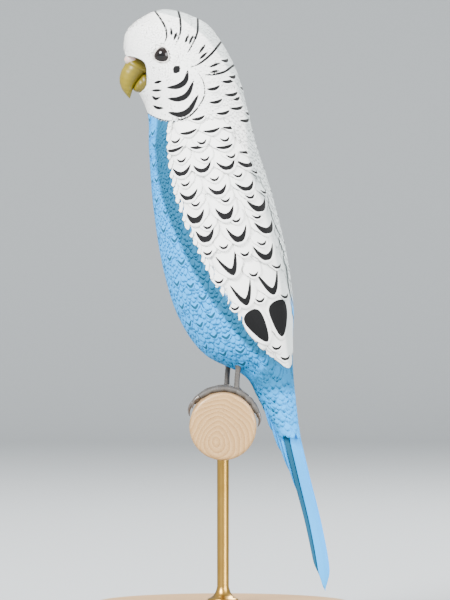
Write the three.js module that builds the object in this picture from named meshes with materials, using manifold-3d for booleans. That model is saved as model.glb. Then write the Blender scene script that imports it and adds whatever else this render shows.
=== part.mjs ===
// A domestic budgerigar at life size, perched upright, on a short length of perch over a round base.
// Millimetres, +Z up, the bird faces -X. The origin is the centre of the base's underside.
import * as THREE from "three";
import { mergeVertices } from "three/addons/utils/BufferGeometryUtils.js";
import Module from "manifold-3d";

const wasm = await Module();
wasm.setup();

const { lerp, clamp } = THREE.MathUtils;
const rad = THREE.MathUtils.degToRad;
const toDegrees = THREE.MathUtils.radToDeg;

// Driving sizes
const gap = 0.3; // left between pieces that touch
const crownHeight = 205.7; // top of the head over the floor
const tailTipHeight = 12; // lowest feather tip over the floor
const perchRadius = 11;
const perchLength = 50;
const perchHeight = 67.2; // axis of the perch over the floor
const baseRadius = 46;
const baseThickness = 8;
const rodRadius = 2;
const footSpread = 7; // each foot from the middle plane
const toeRadius = 1.1;
const eyeRadius = 3.1;
const eyeOpening = 2.15; // half width of the eye between its lids

// Ribs of the body in side view, from crown to tail: front x and z, back x and z, half width.
// A rib is an ellipse between its front and back point.
const crown = [-20, crownHeight];
const bodyRibs = [
  [-30.7, 200.3, -6.7, 201.7, 10], // crown
  [-33.2, 193.3, 0, 194, 13.5], // forehead and hind head
  [-31, 183.3, 5, 184, 14.6], // face and nape
  [-25.3, 171.3, 8.3, 172, 14.9], // throat
  [-24.7, 158.7, 11, 161, 16.7], // shoulders
  [-23.3, 140, 16.3, 144.3, 19.2], // breast
  [-20, 119.3, 21.3, 124, 19.9], // deepest part of the belly
  [-14.7, 102.7, 23.5, 107.3, 18], // lower belly
  [-6.3, 90.7, 23.3, 96.3, 14.5], // flanks
  [6.7, 83.7, 23.3, 88, 9.6], // vent and rump
  [11.3, 76.7, 24, 78, 7.4], // tail root
  [17.7, 63, 25.7, 64, 5], // inside the tail
];

// Turns a three.js geometry into a solid, with its faces outwards
function solidOf(geometry) {
  const bare = geometry.clone();
  bare.deleteAttribute("normal");
  bare.deleteAttribute("uv");
  const merged = mergeVertices(bare, 1e-4);
  const index = merged.index.array;
  const kept = [];
  for (let i = 0; i < index.length; i += 3) {
    const [a, b, c] = [index[i], index[i + 1], index[i + 2]];
    if (a !== b && b !== c && a !== c) kept.push(a, b, c);
  }
  const vertProperties = new Float32Array(merged.attributes.position.array);
  const make = (triVerts) =>
    new wasm.Manifold(new wasm.Mesh({ numProp: 3, vertProperties, triVerts: new Uint32Array(triVerts) }));
  const solid = make(kept);
  return solid.volume() > 0 ? solid : make(kept.toReversed());
}

// The largest closed surface of a solid, so that no loose scrap is left
function largest(solid) {
  const bodies = solid.decompose();
  return bodies.reduce((best, body) => (body.volume() > best.volume() ? body : best));
}

function union(solids) {
  return solids.reduce((sum, solid) => sum.add(solid));
}

// A surface lofted through ribs that lie in the middle plane. s counts the ribs, and the angle runs
// from the back (0) over the bird's left side (90 degrees) to the front (180 degrees).
class Form {
  constructor(pole, ribs) {
    const tip = new THREE.Vector3(pole[0], 0, pole[1]);
    const past = (i, j) => new THREE.Vector3(ribs[0][i], -ribs[0][4], ribs[0][j]);
    const line = (i, j) => ribs.map((rib) => new THREE.Vector3(rib[i], rib[4], rib[j]));
    const curve = (list) => new THREE.CatmullRomCurve3(list, false, "catmullrom", 0.5);
    this.front = curve([past(2, 3), tip, ...line(0, 1)]);
    this.back = curve([past(0, 1), tip, ...line(2, 3)]);
    this.count = ribs.length;
  }

  rib(s) {
    const u = clamp((s + 1) / (this.count + 1), 0, 1);
    const front = this.front.getPoint(u);
    const back = this.back.getPoint(u);
    return { front, back, halfWidth: Math.max(front.y, 0) };
  }

  on(s, angle) {
    const { front, back, halfWidth } = this.rib(s);
    const share = (1 + Math.cos(angle)) / 2;
    return new THREE.Vector3(
      lerp(front.x, back.x, share),
      -halfWidth * Math.sin(angle),
      lerp(front.z, back.z, share),
    );
  }

  slopes(s, angle) {
    const step = 0.02;
    const along = this.on(s + step, angle).sub(this.on(s - step, angle)).divideScalar(2 * step);
    const round = this.on(s, angle + step).sub(this.on(s, angle - step)).divideScalar(2 * step);
    const normal = new THREE.Vector3().crossVectors(round, along).normalize();
    return { along, round, normal };
  }

  // The point at a height over the surface
  at(s, angle, height = 0) {
    const point = this.on(s, angle);
    if (height === 0) return point;
    return point.addScaledVector(this.slopes(s, angle).normal, height);
  }

  // The place on the left side that shows at x, z in side view
  seenAt(x, z) {
    let s = 2;
    let angle = Math.PI / 2;
    for (let i = 0; i < 40; i++) {
      const here = this.on(s, angle);
      const { along, round } = this.slopes(s, angle);
      const det = along.x * round.z - along.z * round.x;
      const dx = x - here.x;
      const dz = z - here.z;
      s += clamp((dx * round.z - dz * round.x) / det, -0.5, 0.5);
      angle += clamp((along.x * dz - along.z * dx) / det, -0.3, 0.3);
    }
    return { s, angle };
  }

  // A closed solid of the form between two ribs
  solid(from, to, along, around) {
    const geometry = new THREE.SphereGeometry(1, around, along);
    const position = geometry.attributes.position;
    for (let j = 0, k = 0; j <= along; j++) {
      for (let i = 0; i <= around; i++, k++) {
        const ended = j === along || (j === 0 && from > 0);
        const s = lerp(from, to, j / along);
        const turn = ((i % around) * 2 * Math.PI) / around;
        const point = this.on(s, turn);
        if (ended) point.addVectors(this.on(s, 0), this.on(s, Math.PI)).multiplyScalar(0.5);
        position.setXYZ(k, point.x, point.y, point.z);
      }
    }
    return solidOf(geometry);
  }
}

// A closed sheet: place(p, q, top) with p across from -1 to 1, q along from 0 to 1, and top 1 or 0.
// Both faces are split into triangles alike.
function sheet(across, along, place) {
  const positions = [];
  const index = [];
  const row = across + 1;
  const layer = row * (along + 1);
  for (const top of [1, 0])
    for (let j = 0; j <= along; j++)
      for (let i = 0; i <= across; i++)
        positions.push(...place((2 * i) / across - 1, j / along, top).toArray());
  const quad = (a, b, c, d) => index.push(a, b, c, a, c, d);
  for (let j = 0; j < along; j++) {
    for (let i = 0; i < across; i++) {
      const a = j * row + i;
      index.push(a, a + 1, a + row + 1, a, a + row + 1, a + row);
      index.push(a + layer, a + layer + row + 1, a + layer + 1);
      index.push(a + layer, a + layer + row, a + layer + row + 1);
    }
  }
  const rim = [];
  for (let i = 0; i < across; i++) rim.push(i);
  for (let j = 0; j < along; j++) rim.push(j * row + across);
  for (let i = across; i > 0; i--) rim.push(along * row + i);
  for (let j = along; j > 0; j--) rim.push(j * row);
  rim.forEach((a, n) => {
    const b = rim[(n + 1) % rim.length];
    quad(b, a, a + layer, b + layer);
  });
  const geometry = new THREE.BufferGeometry();
  geometry.setAttribute("position", new THREE.Float32BufferAttribute(positions, 3));
  geometry.setIndex(index);
  return solidOf(geometry);
}

// A tube with rounded ends along points, each with its radius
function tube(points, radii, sides, steps) {
  const curve = new THREE.CatmullRomCurve3(points);
  const frames = curve.computeFrenetFrames(steps, false);
  const geometry = new THREE.SphereGeometry(1, sides, steps + 2);
  const position = geometry.attributes.position;
  const radiusAt = (t) => {
    const place = t * (radii.length - 1);
    const i = Math.min(Math.floor(place), radii.length - 2);
    return lerp(radii[i], radii[i + 1], place - i);
  };
  for (let j = 0, k = 0; j <= steps + 2; j++) {
    const n = clamp(j - 1, 0, steps);
    const t = n / steps;
    const centre = curve.getPointAt(t);
    const radius = radiusAt(t);
    const ended = j === 0 || j === steps + 2;
    if (ended) centre.addScaledVector(frames.tangents[n], (j === 0 ? -0.6 : 0.6) * radius);
    for (let i = 0; i <= sides; i++, k++) {
      const turn = ((i % sides) * 2 * Math.PI) / sides;
      const point = centre.clone();
      if (!ended) {
        point.addScaledVector(frames.normals[n], radius * Math.cos(turn));
        point.addScaledVector(frames.binormals[n], radius * Math.sin(turn));
      }
      position.setXYZ(k, point.x, point.y, point.z);
    }
  }
  return solidOf(geometry);
}

function ellipsoid(centre, radii, sides = 16, rings = 10) {
  const geometry = new THREE.SphereGeometry(1, sides, rings);
  geometry.scale(...radii);
  geometry.translate(...centre);
  return solidOf(geometry);
}

// Everything below a tilted plane through two points of the side view, as a large block
function below(a, b) {
  const size = 400;
  const geometry = new THREE.BoxGeometry(size, size, size);
  geometry.translate(0, 0, -size / 2);
  geometry.rotateY(-Math.atan2(b[1] - a[1], b[0] - a[0]));
  geometry.translate((a[0] + b[0]) / 2, 0, (a[1] + b[1]) / 2);
  return solidOf(geometry);
}

const lowered = ([x, z], by) => [x, z - by];
const body = new Form(crown, bodyRibs);

// Folded wing on the body form: the front edge as it shows in side view, and the back edge as
// angles from the back's middle line, both from the shoulder to the tip
const wingFrontSeen = [
  [-14.5, 170],
  [-18.3, 167],
  [-19, 160],
  [-18.3, 151],
  [-16.7, 143],
  [-13.9, 134.5],
  [-10.4, 127],
  [-6.8, 119],
  [-2, 111],
  [3.4, 103.4],
  [10, 95],
  [15.4, 90],
  [20.4, 86.4],
];
const wingBack = [60, 43, 30, 20, 13, 8.5, 6, 5.5, 6.5, 14];
const wingEnds = { shoulder: 4.3, tip: 10.35 };
const wingDepth = 2.2; // of the folded wing's inner face under the body's outline

// A smooth curve through values set at stations
function through(stations, values) {
  const curve = new THREE.CatmullRomCurve3(
    stations.map((station, i) => new THREE.Vector3(station, values[i], 0)),
  );
  const table = curve.getPoints(stations.length * 8);
  return (station) => {
    const after = table.findIndex((point) => point.x >= station);
    if (after === -1) return table.at(-1).y;
    if (after === 0) return table[0].y;
    const [a, b] = [table[after - 1], table[after]];
    return lerp(a.y, b.y, (station - a.x) / (b.x - a.x));
  };
}
const frontPlaces = wingFrontSeen.map(([x, z]) => body.seenAt(x, z));
const frontEdge = through(
  frontPlaces.map((place) => place.s),
  frontPlaces.map((place) => toDegrees(place.angle)),
);
const backEdge = through(
  wingBack.map((_, i) => lerp(wingEnds.shoulder, wingEnds.tip, i / (wingBack.length - 1))),
  wingBack,
);

// Angle on the wing at share v from the front edge (0) to the back edge (1)
const wingAngle = (s, v) => rad(lerp(frontEdge(s), backEdge(s), v));

// How far the wing's inner face lies under the outline: full in the middle, thin along the edges
function innerDepth(s, v) {
  const toTip = clamp((wingEnds.tip - s) / 2.2, 0, 1);
  const rim = 1 - (2 * v - 1) ** 4;
  return lerp(1.3, wingDepth, toTip) * lerp(0.75, 1, rim);
}

// The slab that the folded wing takes up, larger by grow on every side
function wingRoom(grow, reach) {
  const degrees = grow * 3.2; // on a body about 18 mm in radius
  return sheet(6, 16, (p, q, top) => {
    const s = lerp(wingEnds.shoulder - grow * 0.08, wingEnds.tip + grow * 0.1, q);
    const v = (p + 1) / 2;
    const angle = wingAngle(s, v) - p * rad(degrees);
    return body.at(s, angle, top ? reach : -innerDepth(s, v) - grow);
  });
}

// The point at a height over the outline, moved inside the wing's edges where it lies past them.
// The inset keeps the edges of neighbouring feathers from falling on one line.
function withinWing(s, angle, height, inset) {
  const rib = clamp(s, wingEnds.shoulder + inset, wingEnds.tip - inset);
  const held = clamp(angle, rad(backEdge(rib)) + inset, rad(frontEdge(rib)) - inset);
  const v = (rad(frontEdge(rib)) - held) / rad(frontEdge(rib) - backEdge(rib));
  return body.at(rib, held, Math.max(height, 0.3 - innerDepth(rib, v)));
}

// A feather laid on the wing from a root to a tip, each given as rib and share of the width.
// The heights of its upper face over the outline are given at root and tip, and floor is how deep
// its lower face is sunk in what lies under it.
// A tilt lifts its front edge over the neighbour before it.
function wingFeather(feather, order) {
  const { root, tip, halfWidth, heights, floor, cells, tilt = 0, taper = 0.6, blunt = 0.26 } = feather;
  const inset = widestInset * ((order * 0.618) % 1);
  const angles = [wingAngle(root[0], root[1]), wingAngle(tip[0], tip[1])];
  return sheet(2, cells, (p, q, top) => {
    const along = q - blunt * p * p * q ** 3;
    const s = lerp(root[0], tip[0], along);
    const angle = lerp(angles[0], angles[1], along);
    const slopes = body.slopes(s, angle);
    const axis = slopes.along
      .clone()
      .multiplyScalar(tip[0] - root[0])
      .addScaledVector(slopes.round, angles[1] - angles[0]);
    const across = new THREE.Vector3().crossVectors(axis, slopes.normal).normalize();
    across.multiplyScalar(p * halfWidth * Math.sin(Math.PI * (0.3 + 0.55 * q)) ** taper);
    const [ss, rr] = [slopes.along.lengthSq(), slopes.round.lengthSq()];
    const sr = slopes.along.dot(slopes.round);
    const [as, ar] = [across.dot(slopes.along), across.dot(slopes.round)];
    const det = ss * rr - sr * sr;
    const aside = [(as * rr - ar * sr) / det, (ar * ss - as * sr) / det];
    const height = lerp(heights[0], heights[1], q) - 0.2 * p * p + tilt * p;
    return withinWing(s + aside[0], angle + aside[1], top ? height : floor(q) - inset, inset);
  });
}

// Rib reached by going a distance down the middle of the wing from its shoulder
const wingStation = (() => {
  const steps = 200;
  const ribs = [];
  const lengths = [];
  let length = 0;
  let last = null;
  for (let i = 0; i <= steps; i++) {
    const s = lerp(wingEnds.shoulder, wingEnds.tip, i / steps);
    const here = body.on(s, wingAngle(s, 0.5));
    if (last) length += here.distanceTo(last);
    last = here;
    ribs.push(s);
    lengths.push(length);
  }
  return (distance) => {
    const i = lengths.findIndex((value) => value >= distance);
    if (i === -1) return wingEnds.tip;
    if (i === 0) return wingEnds.shoulder;
    return lerp(ribs[i - 1], ribs[i], (distance - lengths[i - 1]) / (lengths[i] - lengths[i - 1]));
  };
})();

// Covert rows: tips stepped down the wing, each row a little longer than the one above,
// with the feathers of every other row between those of its neighbours
const rows = { count: 11, first: 5, pitch: 4.2, growth: 1.035, overlap: 1.7 };
const covertWidth = 10;
const coreTop = -0.85;
const widestInset = 0.02;

function covertRows() {
  const made = [];
  let tipAt = rows.first;
  for (let i = 0; i < rows.count; i++) {
    const pitch = rows.pitch * rows.growth ** i;
    const tipRib = wingStation(tipAt);
    const rootRib = wingStation(Math.max(tipAt - rows.overlap * pitch, 0.2));
    const wide = rad(frontEdge(tipRib) - backEdge(tipRib)) * body.rib(tipRib).halfWidth;
    const columns = Math.max(Math.round(wide / covertWidth), 1);
    const between = i % 2 === 1;
    const count = between ? columns + 1 : columns;
    for (let c = 0; c < count; c++) {
      const v = clamp(between ? c / columns : (c + 0.5) / columns, 0.06, 0.94);
      made.push({
        root: [rootRib, v],
        tip: [tipRib, v],
        halfWidth: (wide / columns) * 0.495,
        heights: [-1.15, 0.6],
        floor: () => -1.2,
        cells: 1,
      });
    }
    tipAt += pitch;
  }
  return made;
}

// Flight feathers in two tiers: long primaries to the wing tip, and secondaries over their roots.
// In each tier the feather nearer the back lies over the one before it.
const primaries = { count: 6, length: 2.3, step: 0.17, halfWidth: 2.5, height: 0.1, lift: 0.11 };
const secondaries = { count: 5, length: 2, halfWidth: 3.9, height: 0.95 };

function flightFeathers() {
  const made = [];
  for (let i = 0; i < primaries.count; i++) {
    const share = i / (primaries.count - 1);
    const tipRib = wingEnds.tip - 0.02 - primaries.step * i;
    const height = primaries.height + primaries.lift * i;
    made.push({
      root: [tipRib - primaries.length, lerp(0.1, 0.8, share)],
      tip: [tipRib, lerp(0.35, 0.78, share)],
      halfWidth: primaries.halfWidth,
      heights: [height - 0.1, height],
      floor: (q) => height - lerp(1.6, 0.8, q),
      cells: 3,
      tilt: 0.3,
      taper: 0.8,
      blunt: 0.12,
    });
  }
  for (let i = 0; i < secondaries.count; i++) {
    const share = i / (secondaries.count - 1);
    const tipRib = lerp(8.95, 9.5, Math.sin(Math.PI * (0.1 + 0.7 * share)));
    made.push({
      root: [tipRib - secondaries.length, lerp(0.12, 0.92, share)],
      tip: [tipRib, lerp(0.12, 0.92, share)],
      halfWidth: secondaries.halfWidth,
      heights: [-0.9, secondaries.height],
      floor: (q) => lerp(-1.6, secondaries.height - 0.9, q),
      cells: 2,
      tilt: 0.3,
      blunt: 0.16,
    });
  }
  return made;
}

function leftWing() {
  const coreEnd = wingEnds.tip - 1.2;
  const core = sheet(6, 12, (p, q, top) => {
    const s = lerp(wingEnds.shoulder, coreEnd, q);
    const v = (p + 1) / 2;
    return body.at(s, wingAngle(s, v), top ? coreTop : -innerDepth(s, v));
  });
  const feathers = [...flightFeathers(), ...covertRows()].map(wingFeather);
  return largest(union([core, ...feathers]));
}

const wingLeft = leftWing();
const wingRoomLeft = wingRoom(gap, 8);
const mirrored = (solid) => solid.mirror([0, 1, 0]);
const withoutWings = (solid) => solid.subtract(wingRoomLeft).subtract(mirrored(wingRoomLeft));

// Bill and cere, set into the face
const upperBillRibs = [
  [-32, 189.6, -24.4, 184.2, 4],
  [-32.6, 187.4, -25.9, 184.1, 4.2],
  [-33.9, 185, -27.4, 182.6, 4],
  [-34.5, 182, -28.7, 181, 3.4],
  [-33.8, 179.2, -29.9, 179.2, 2.5],
  [-32.4, 177.2, -30.5, 177.4, 1.5],
  [-31.1, 175.8, -31, 175.9, 0.2],
];
const lowerBillRibs = [
  [-25.6, 183, -24.3, 178.8, 3],
  [-27.1, 181.7, -25.8, 178.3, 2.9],
  [-28.3, 180.3, -27.8, 177.9, 2.4],
  [-29.2, 179.2, -29.1, 178.1, 1.5],
  [-29.6, 178.7, -29.6, 178.5, 0.3],
];

// Moves a rib's two points apart and widens it
function grown(ribs, by) {
  return ribs.map(([fx, fz, bx, bz, width]) => {
    const length = Math.hypot(bx - fx, bz - fz) || 1;
    const [ux, uz] = [((bx - fx) / length) * by, ((bz - fz) / length) * by];
    return [fx - ux, fz - uz, bx + ux, bz + uz, width + by];
  });
}

function bill(pole, ribs, grow) {
  return new Form(pole, grown(ribs, grow)).solid(0, ribs.length, 11, 12);
}
const upperBillPole = [-24.5, 189];
const lowerBillPole = [-23.2, 182];
const upperBill = bill(upperBillPole, upperBillRibs, 0);
const upperBillRoom = bill(upperBillPole, upperBillRibs, gap);
const lowerBill = largest(bill(lowerBillPole, lowerBillRibs, 0).subtract(upperBillRoom));
const lowerBillRoom = bill(lowerBillPole, lowerBillRibs, gap);

// The cere: two bulbs side by side over the bill, each with a nostril
const cereAt = [-31.1, 1.75, 188.9];
const cereSize = [2.3, 2.35, 1.95];
const nostrilRadius = 0.5;

function cereBulbs(grow) {
  const bulb = ellipsoid(cereAt, cereSize.map((size) => size + grow), 12, 6);
  return bulb.add(mirrored(bulb));
}

function cere() {
  const geometry = new THREE.CylinderGeometry(nostrilRadius, nostrilRadius, 3, 8);
  geometry.rotateZ(rad(62));
  geometry.translate(cereAt[0] - 2.4, cereAt[1], cereAt[2] + 0.9);
  const nostril = solidOf(geometry);
  return largest(cereBulbs(0).subtract(upperBillRoom).subtract(nostril.add(mirrored(nostril))));
}

// Eyes, each in a socket inside a ring of lids
const eyeSeen = { x: -20.3, z: 189.6 };
const eyePlace = body.seenAt(eyeSeen.x, eyeSeen.z);
const eyeOut = body.slopes(eyePlace.s, eyePlace.angle).normal;
const eyeSink = Math.sqrt(eyeRadius ** 2 - eyeOpening ** 2) - 0.1;
const eyeCentre = body.at(eyePlace.s, eyePlace.angle, -eyeSink);

function lids() {
  const geometry = new THREE.TorusGeometry(eyeOpening + 0.35, 0.62, 5, 12);
  geometry.applyQuaternion(
    new THREE.Quaternion().setFromUnitVectors(new THREE.Vector3(0, 0, 1), eyeOut),
  );
  const centre = body.at(eyePlace.s, eyePlace.angle, 0.05);
  geometry.translate(centre.x, centre.y, centre.z);
  return solidOf(geometry);
}
const eye = (radius) => ellipsoid(eyeCentre.toArray(), [radius, radius, radius], 14, 8);

// Cuts between head, neck, torso, rump and tail, as lines in side view
const headCut = [[-27.7, 175.3], [5, 183.4]];
const neckCut = [[-25, 166.8], [9, 168.6]];
const ventCut = [[4, 83.2], [23.5, 94.6]];
const tailCut = [[9, 77.4], [24, 78.6]];
const mask = { centre: [-18.3, 0, 180], radii: [12.9, 16.6, 12.9] }; // bib and cheeks
const billHollow = { centre: [-37, 0, 183.7], radii: [11.4, 13.5, 6.6] }; // the face draws back there

const whole = body.solid(0, bodyRibs.length, 36, 24);
const maskLobe = ellipsoid(mask.centre, mask.radii, 20, 12);
const maskRoom = ellipsoid(mask.centre, mask.radii.map((radius) => radius + gap), 20, 12);

function head() {
  const top = whole.subtract(below(...headCut).subtract(maskLobe));
  const hollow = ellipsoid(billHollow.centre, billHollow.radii, 28, 16);
  const ringed = top.subtract(hollow).add(lids()).add(mirrored(lids()));
  const socket = eye(eyeRadius + gap);
  const rooms = union([socket, mirrored(socket), upperBillRoom, lowerBillRoom]);
  return largest(ringed.subtract(rooms).subtract(cereBulbs(gap)));
}

function neck() {
  const upper = below(...headCut.map((point) => lowered(point, gap)));
  const part = whole.intersect(upper).subtract(below(...neckCut)).subtract(maskRoom);
  return largest(withoutWings(part));
}

// Legs, feet and claws on the perch. Angles run round the perch from its top, backwards positive.
const feet = {
  left: { side: -1, ankle: 22 },
  right: { side: 1, ankle: 6 },
};
const toeTrack = perchRadius + gap + toeRadius; // toes' middle line from the perch's axis
const toes = [
  { name: "front_outer", way: -1, out: 1, length: 13.4 },
  { name: "front_inner", way: -1, out: -1, length: 10.2 },
  { name: "back_outer", way: 1, out: 1, length: 10.6 },
  { name: "back_inner", way: 1, out: -1, length: 7.6 },
];
const claw = { length: 4.3, radius: 0.78 };

const onPerch = (degrees, track, y) =>
  new THREE.Vector3(
    track * Math.sin(rad(degrees)),
    y,
    perchHeight + track * Math.cos(rad(degrees)),
  );

const toeTurn = (length) => toDegrees(length / toeTrack);

function toeLine({ side, ankle }, toe, from, to, steps, tracks) {
  const points = [];
  for (let i = 0; i <= steps; i++) {
    const t = i / steps;
    const length = lerp(from, to, t);
    const spread = 1.15 + 1.5 * Math.sqrt(clamp(length / toe.length, 0, 1.4));
    const y = side * (footSpread + toe.out * spread);
    points.push(onPerch(ankle + toe.way * toeTurn(length), lerp(tracks[0], tracks[1], t), y));
  }
  return points;
}

function foot(place) {
  const palm = onPerch(place.ankle, toeTrack + 0.35, place.side * footSpread);
  const pieces = [ellipsoid(palm.toArray(), [2.1, 2.3, 1.35], 12, 6)];
  for (const toe of toes) {
    const line = toeLine(place, toe, 0.4, toe.length, 6, [toeTrack, toeTrack]);
    const swell = [1, 1.02, 0.86, 1, 0.82, 0.94, 0.8].map((share) => share * toeRadius);
    pieces.push(tube(line, swell, 6, 5));
  }
  return largest(union(pieces).subtract(leg(place, gap)));
}

function clawSolid(place, toe) {
  const start = toe.length + toeRadius * 0.6 + gap;
  const end = start + claw.length;
  const line = toeLine(place, toe, start, end, 5, [toeTrack - 0.05, perchRadius + gap + 0.35]);
  return tube(line, [claw.radius, claw.radius * 0.9, claw.radius * 0.55, 0.16], 6, 4);
}

const tarsus = { radius: 1.15, top: 9.5 }; // top is over the toes' track
function leg(place, grow) {
  const foot = onPerch(place.ankle, toeTrack, place.side * footSpread);
  const from = foot.z + 1.75;
  const points = [0, 0.4, 0.75, 1].map(
    (t) => new THREE.Vector3(foot.x + 0.8 * t * t, foot.y, lerp(from, foot.z + tarsus.top, t)),
  );
  const radii = [1.2, 1, 1.05, 1.5].map((share) => share * tarsus.radius + grow);
  return tube(points, radii, 8, 4);
}

function torso() {
  const upper = below(...neckCut.map((point) => lowered(point, gap)));
  const part = whole.intersect(upper).subtract(below(...ventCut)).subtract(maskRoom);
  const legRooms = union(Object.values(feet).map((place) => leg(place, gap)));
  return largest(withoutWings(part).subtract(legRooms));
}

function rump() {
  const upper = below(...ventCut.map((point) => lowered(point, gap)));
  const legRooms = union(Object.values(feet).map((place) => leg(place, gap)));
  const part = whole.intersect(upper).subtract(below(...tailCut));
  return largest(withoutWings(part).subtract(legRooms));
}

// Tail: six pairs of feathers in two slopes that meet along the top line, the middle pair longest
const tailTop = [
  [24, 79],
  [25.4, 66],
  [28.8, 51],
  [32.9, 35],
  [36, 20],
  [35.4, tailTipHeight],
];
// tip: how far down the tail each pair reaches. root and end: how far it stands aside from the top
// line at its root and at its tip.
const tailPairs = [
  { tip: 1, root: 0, end: 0, width: 6.2 },
  { tip: 0.945, root: 2.2, end: 1, width: 5.6 },
  { tip: 0.56, root: 4.2, end: 2.2, width: 5.4 },
  { tip: 0.43, root: 5.8, end: 3.2, width: 5.2 },
  { tip: 0.31, root: 7.3, end: 4.5, width: 5 },
  { tip: 0.2, root: 8.9, end: 6.8, width: 4.8 },
];
const tailSlope = rad(58);
const tailLayer = 0.62; // from one feather of the stack to the next
const topLine = new THREE.CatmullRomCurve3(tailTop.map(([x, z]) => new THREE.Vector3(x, 0, z)));

function tailFeather(side, order) {
  const { tip, root, end, width } = tailPairs[order];
  return sheet(2, Math.round(2 + 3 * tip), (p, q, top) => {
    const along = (q - 0.05 * p * p * q * q) * tip;
    const ridge = topLine.getPointAt(clamp(along, 0, 1));
    const tangent = topLine.getTangentAt(clamp(along, 0, 1));
    const up = new THREE.Vector3(-tangent.z, 0, tangent.x);
    const down = new THREE.Vector3(0, side * Math.cos(tailSlope), 0);
    const out = new THREE.Vector3(0, side * Math.sin(tailSlope), 0);
    down.addScaledVector(up, -Math.sin(tailSlope));
    out.addScaledVector(up, Math.cos(tailSlope));
    const fan = lerp(root, end, q);
    const blunt = Math.sin(Math.PI * (0.3 + 0.58 * q)) ** 0.55;
    const reach = fan + width / 2 + (p * width * blunt) / 2;
    const height = -tailLayer * order - 0.1 - (top ? 0 : 0.55) - 0.12 * p * p;
    return ridge.addScaledVector(down, reach).addScaledVector(out, height);
  });
}

function tail() {
  const upper = below(...tailCut.map((point) => lowered(point, gap)));
  const root = new Form([20, 84], [
    [11, 77, 24, 78.6, 7.3],
    [13.4, 73, 24.2, 73.5, 6],
    [16.6, 67.5, 24.6, 68, 3.8],
    [19.6, 62, 25, 62.5, 1.6],
  ]);
  const core = root.solid(0.8, 4, 5, 10).intersect(upper);
  const feathers = tailPairs.flatMap((_, order) => [-1, 1].map((side) => tailFeather(side, order)));
  return largest(union([core, ...feathers]).intersect(upper));
}

// Stand: a round base, one rod and the length of perch, each turned round its own axis
function turned(outline, sides) {
  const geometry = new THREE.LatheGeometry(outline.map(([r, z]) => new THREE.Vector2(r, z)), sides);
  geometry.rotateX(Math.PI / 2);
  return solidOf(geometry);
}

function standBase() {
  const outline = [
    [0, 0],
    [baseRadius - 0.8, 0],
    [baseRadius, 0.8],
    [baseRadius, baseThickness - 3],
    [baseRadius - 1.2, baseThickness - 0.8],
    [baseRadius - 3, baseThickness],
    [0, baseThickness],
  ];
  return turned(outline, 40);
}

const rodLength = perchHeight - perchRadius - baseThickness - 2 * gap;

function standRod() {
  const outline = [
    [0, 0],
    [rodRadius * 2.6, 0],
    [rodRadius * 2.4, 1],
    [rodRadius, 2.4],
    [rodRadius, rodLength],
    [0, rodLength],
  ];
  return turned(outline, 20);
}

function standPerch() {
  const half = perchLength / 2;
  const outline = [
    [0, -half],
    [perchRadius - 0.9, -half],
    [perchRadius, -half + 0.9],
    [perchRadius, half - 0.9],
    [perchRadius - 0.9, half],
    [0, half],
  ];
  return turned(outline, 36);
}

const materials = {
  white: { color: 0xf4f5f4, roughness: 0.85 },
  blue: { color: 0x80c0e3, roughness: 0.85 },
  bill: { color: 0xa59a45, roughness: 0.45 },
  cere: { color: 0xd9c8bd, roughness: 0.6 },
  eye: { color: 0x1d1b1a, roughness: 0.1 },
  foot: { color: 0x8b8480, roughness: 0.6 },
  claw: { color: 0x5d5855, roughness: 0.4 },
  wood: { color: 0x6b5340, roughness: 0.6 },
  metal: { color: 0xb9a070, roughness: 0.3, metalness: 1 },
};

const model = new THREE.Group();
const bird = new THREE.Group();
const stand = new THREE.Group();
model.add(bird, stand);

function addNode(group, name, solid, finish) {
  const mesh = solid.getMesh();
  const geometry = new THREE.BufferGeometry();
  geometry.setAttribute("position", new THREE.BufferAttribute(mesh.vertProperties, 3));
  geometry.setIndex(new THREE.BufferAttribute(mesh.triVerts, 1));
  const node = new THREE.Mesh(geometry, new THREE.MeshStandardMaterial(materials[finish]));
  node.name = name;
  group.add(node);
  return node;
}

addNode(bird, "head", head(), "white");
addNode(bird, "neck", neck(), "white");
addNode(bird, "torso", torso(), "blue");
addNode(bird, "rump", rump(), "blue");
addNode(bird, "tail", tail(), "blue");
addNode(bird, "wing_left", wingLeft, "white");
addNode(bird, "wing_right", mirrored(wingLeft), "white");
addNode(bird, "bill_upper", upperBill, "bill");
addNode(bird, "bill_lower", lowerBill, "bill");
addNode(bird, "cere", cere(), "cere");
addNode(bird, "eye_left", eye(eyeRadius), "eye");
addNode(bird, "eye_right", mirrored(eye(eyeRadius)), "eye");
for (const [name, place] of Object.entries(feet)) {
  addNode(bird, `leg_${name}`, leg(place, 0), "foot");
  addNode(bird, `foot_${name}`, foot(place), "foot");
  for (const toe of toes) addNode(bird, `claw_${name}_${toe.name}`, clawSolid(place, toe), "claw");
}
addNode(stand, "stand_base", standBase(), "wood");
addNode(stand, "stand_rod", standRod(), "metal").position.z = baseThickness + gap;
const perch = addNode(stand, "stand_perch", standPerch(), "wood");
perch.rotation.x = Math.PI / 2;
perch.position.z = perchHeight;

export default model;
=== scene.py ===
# Finish of the display budgerigar: its skin, plumage, bill, eyes and feet, and its stand.
# Lengths are millimetres until a mesh is made, and the places are the solids' own.
import math

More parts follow.
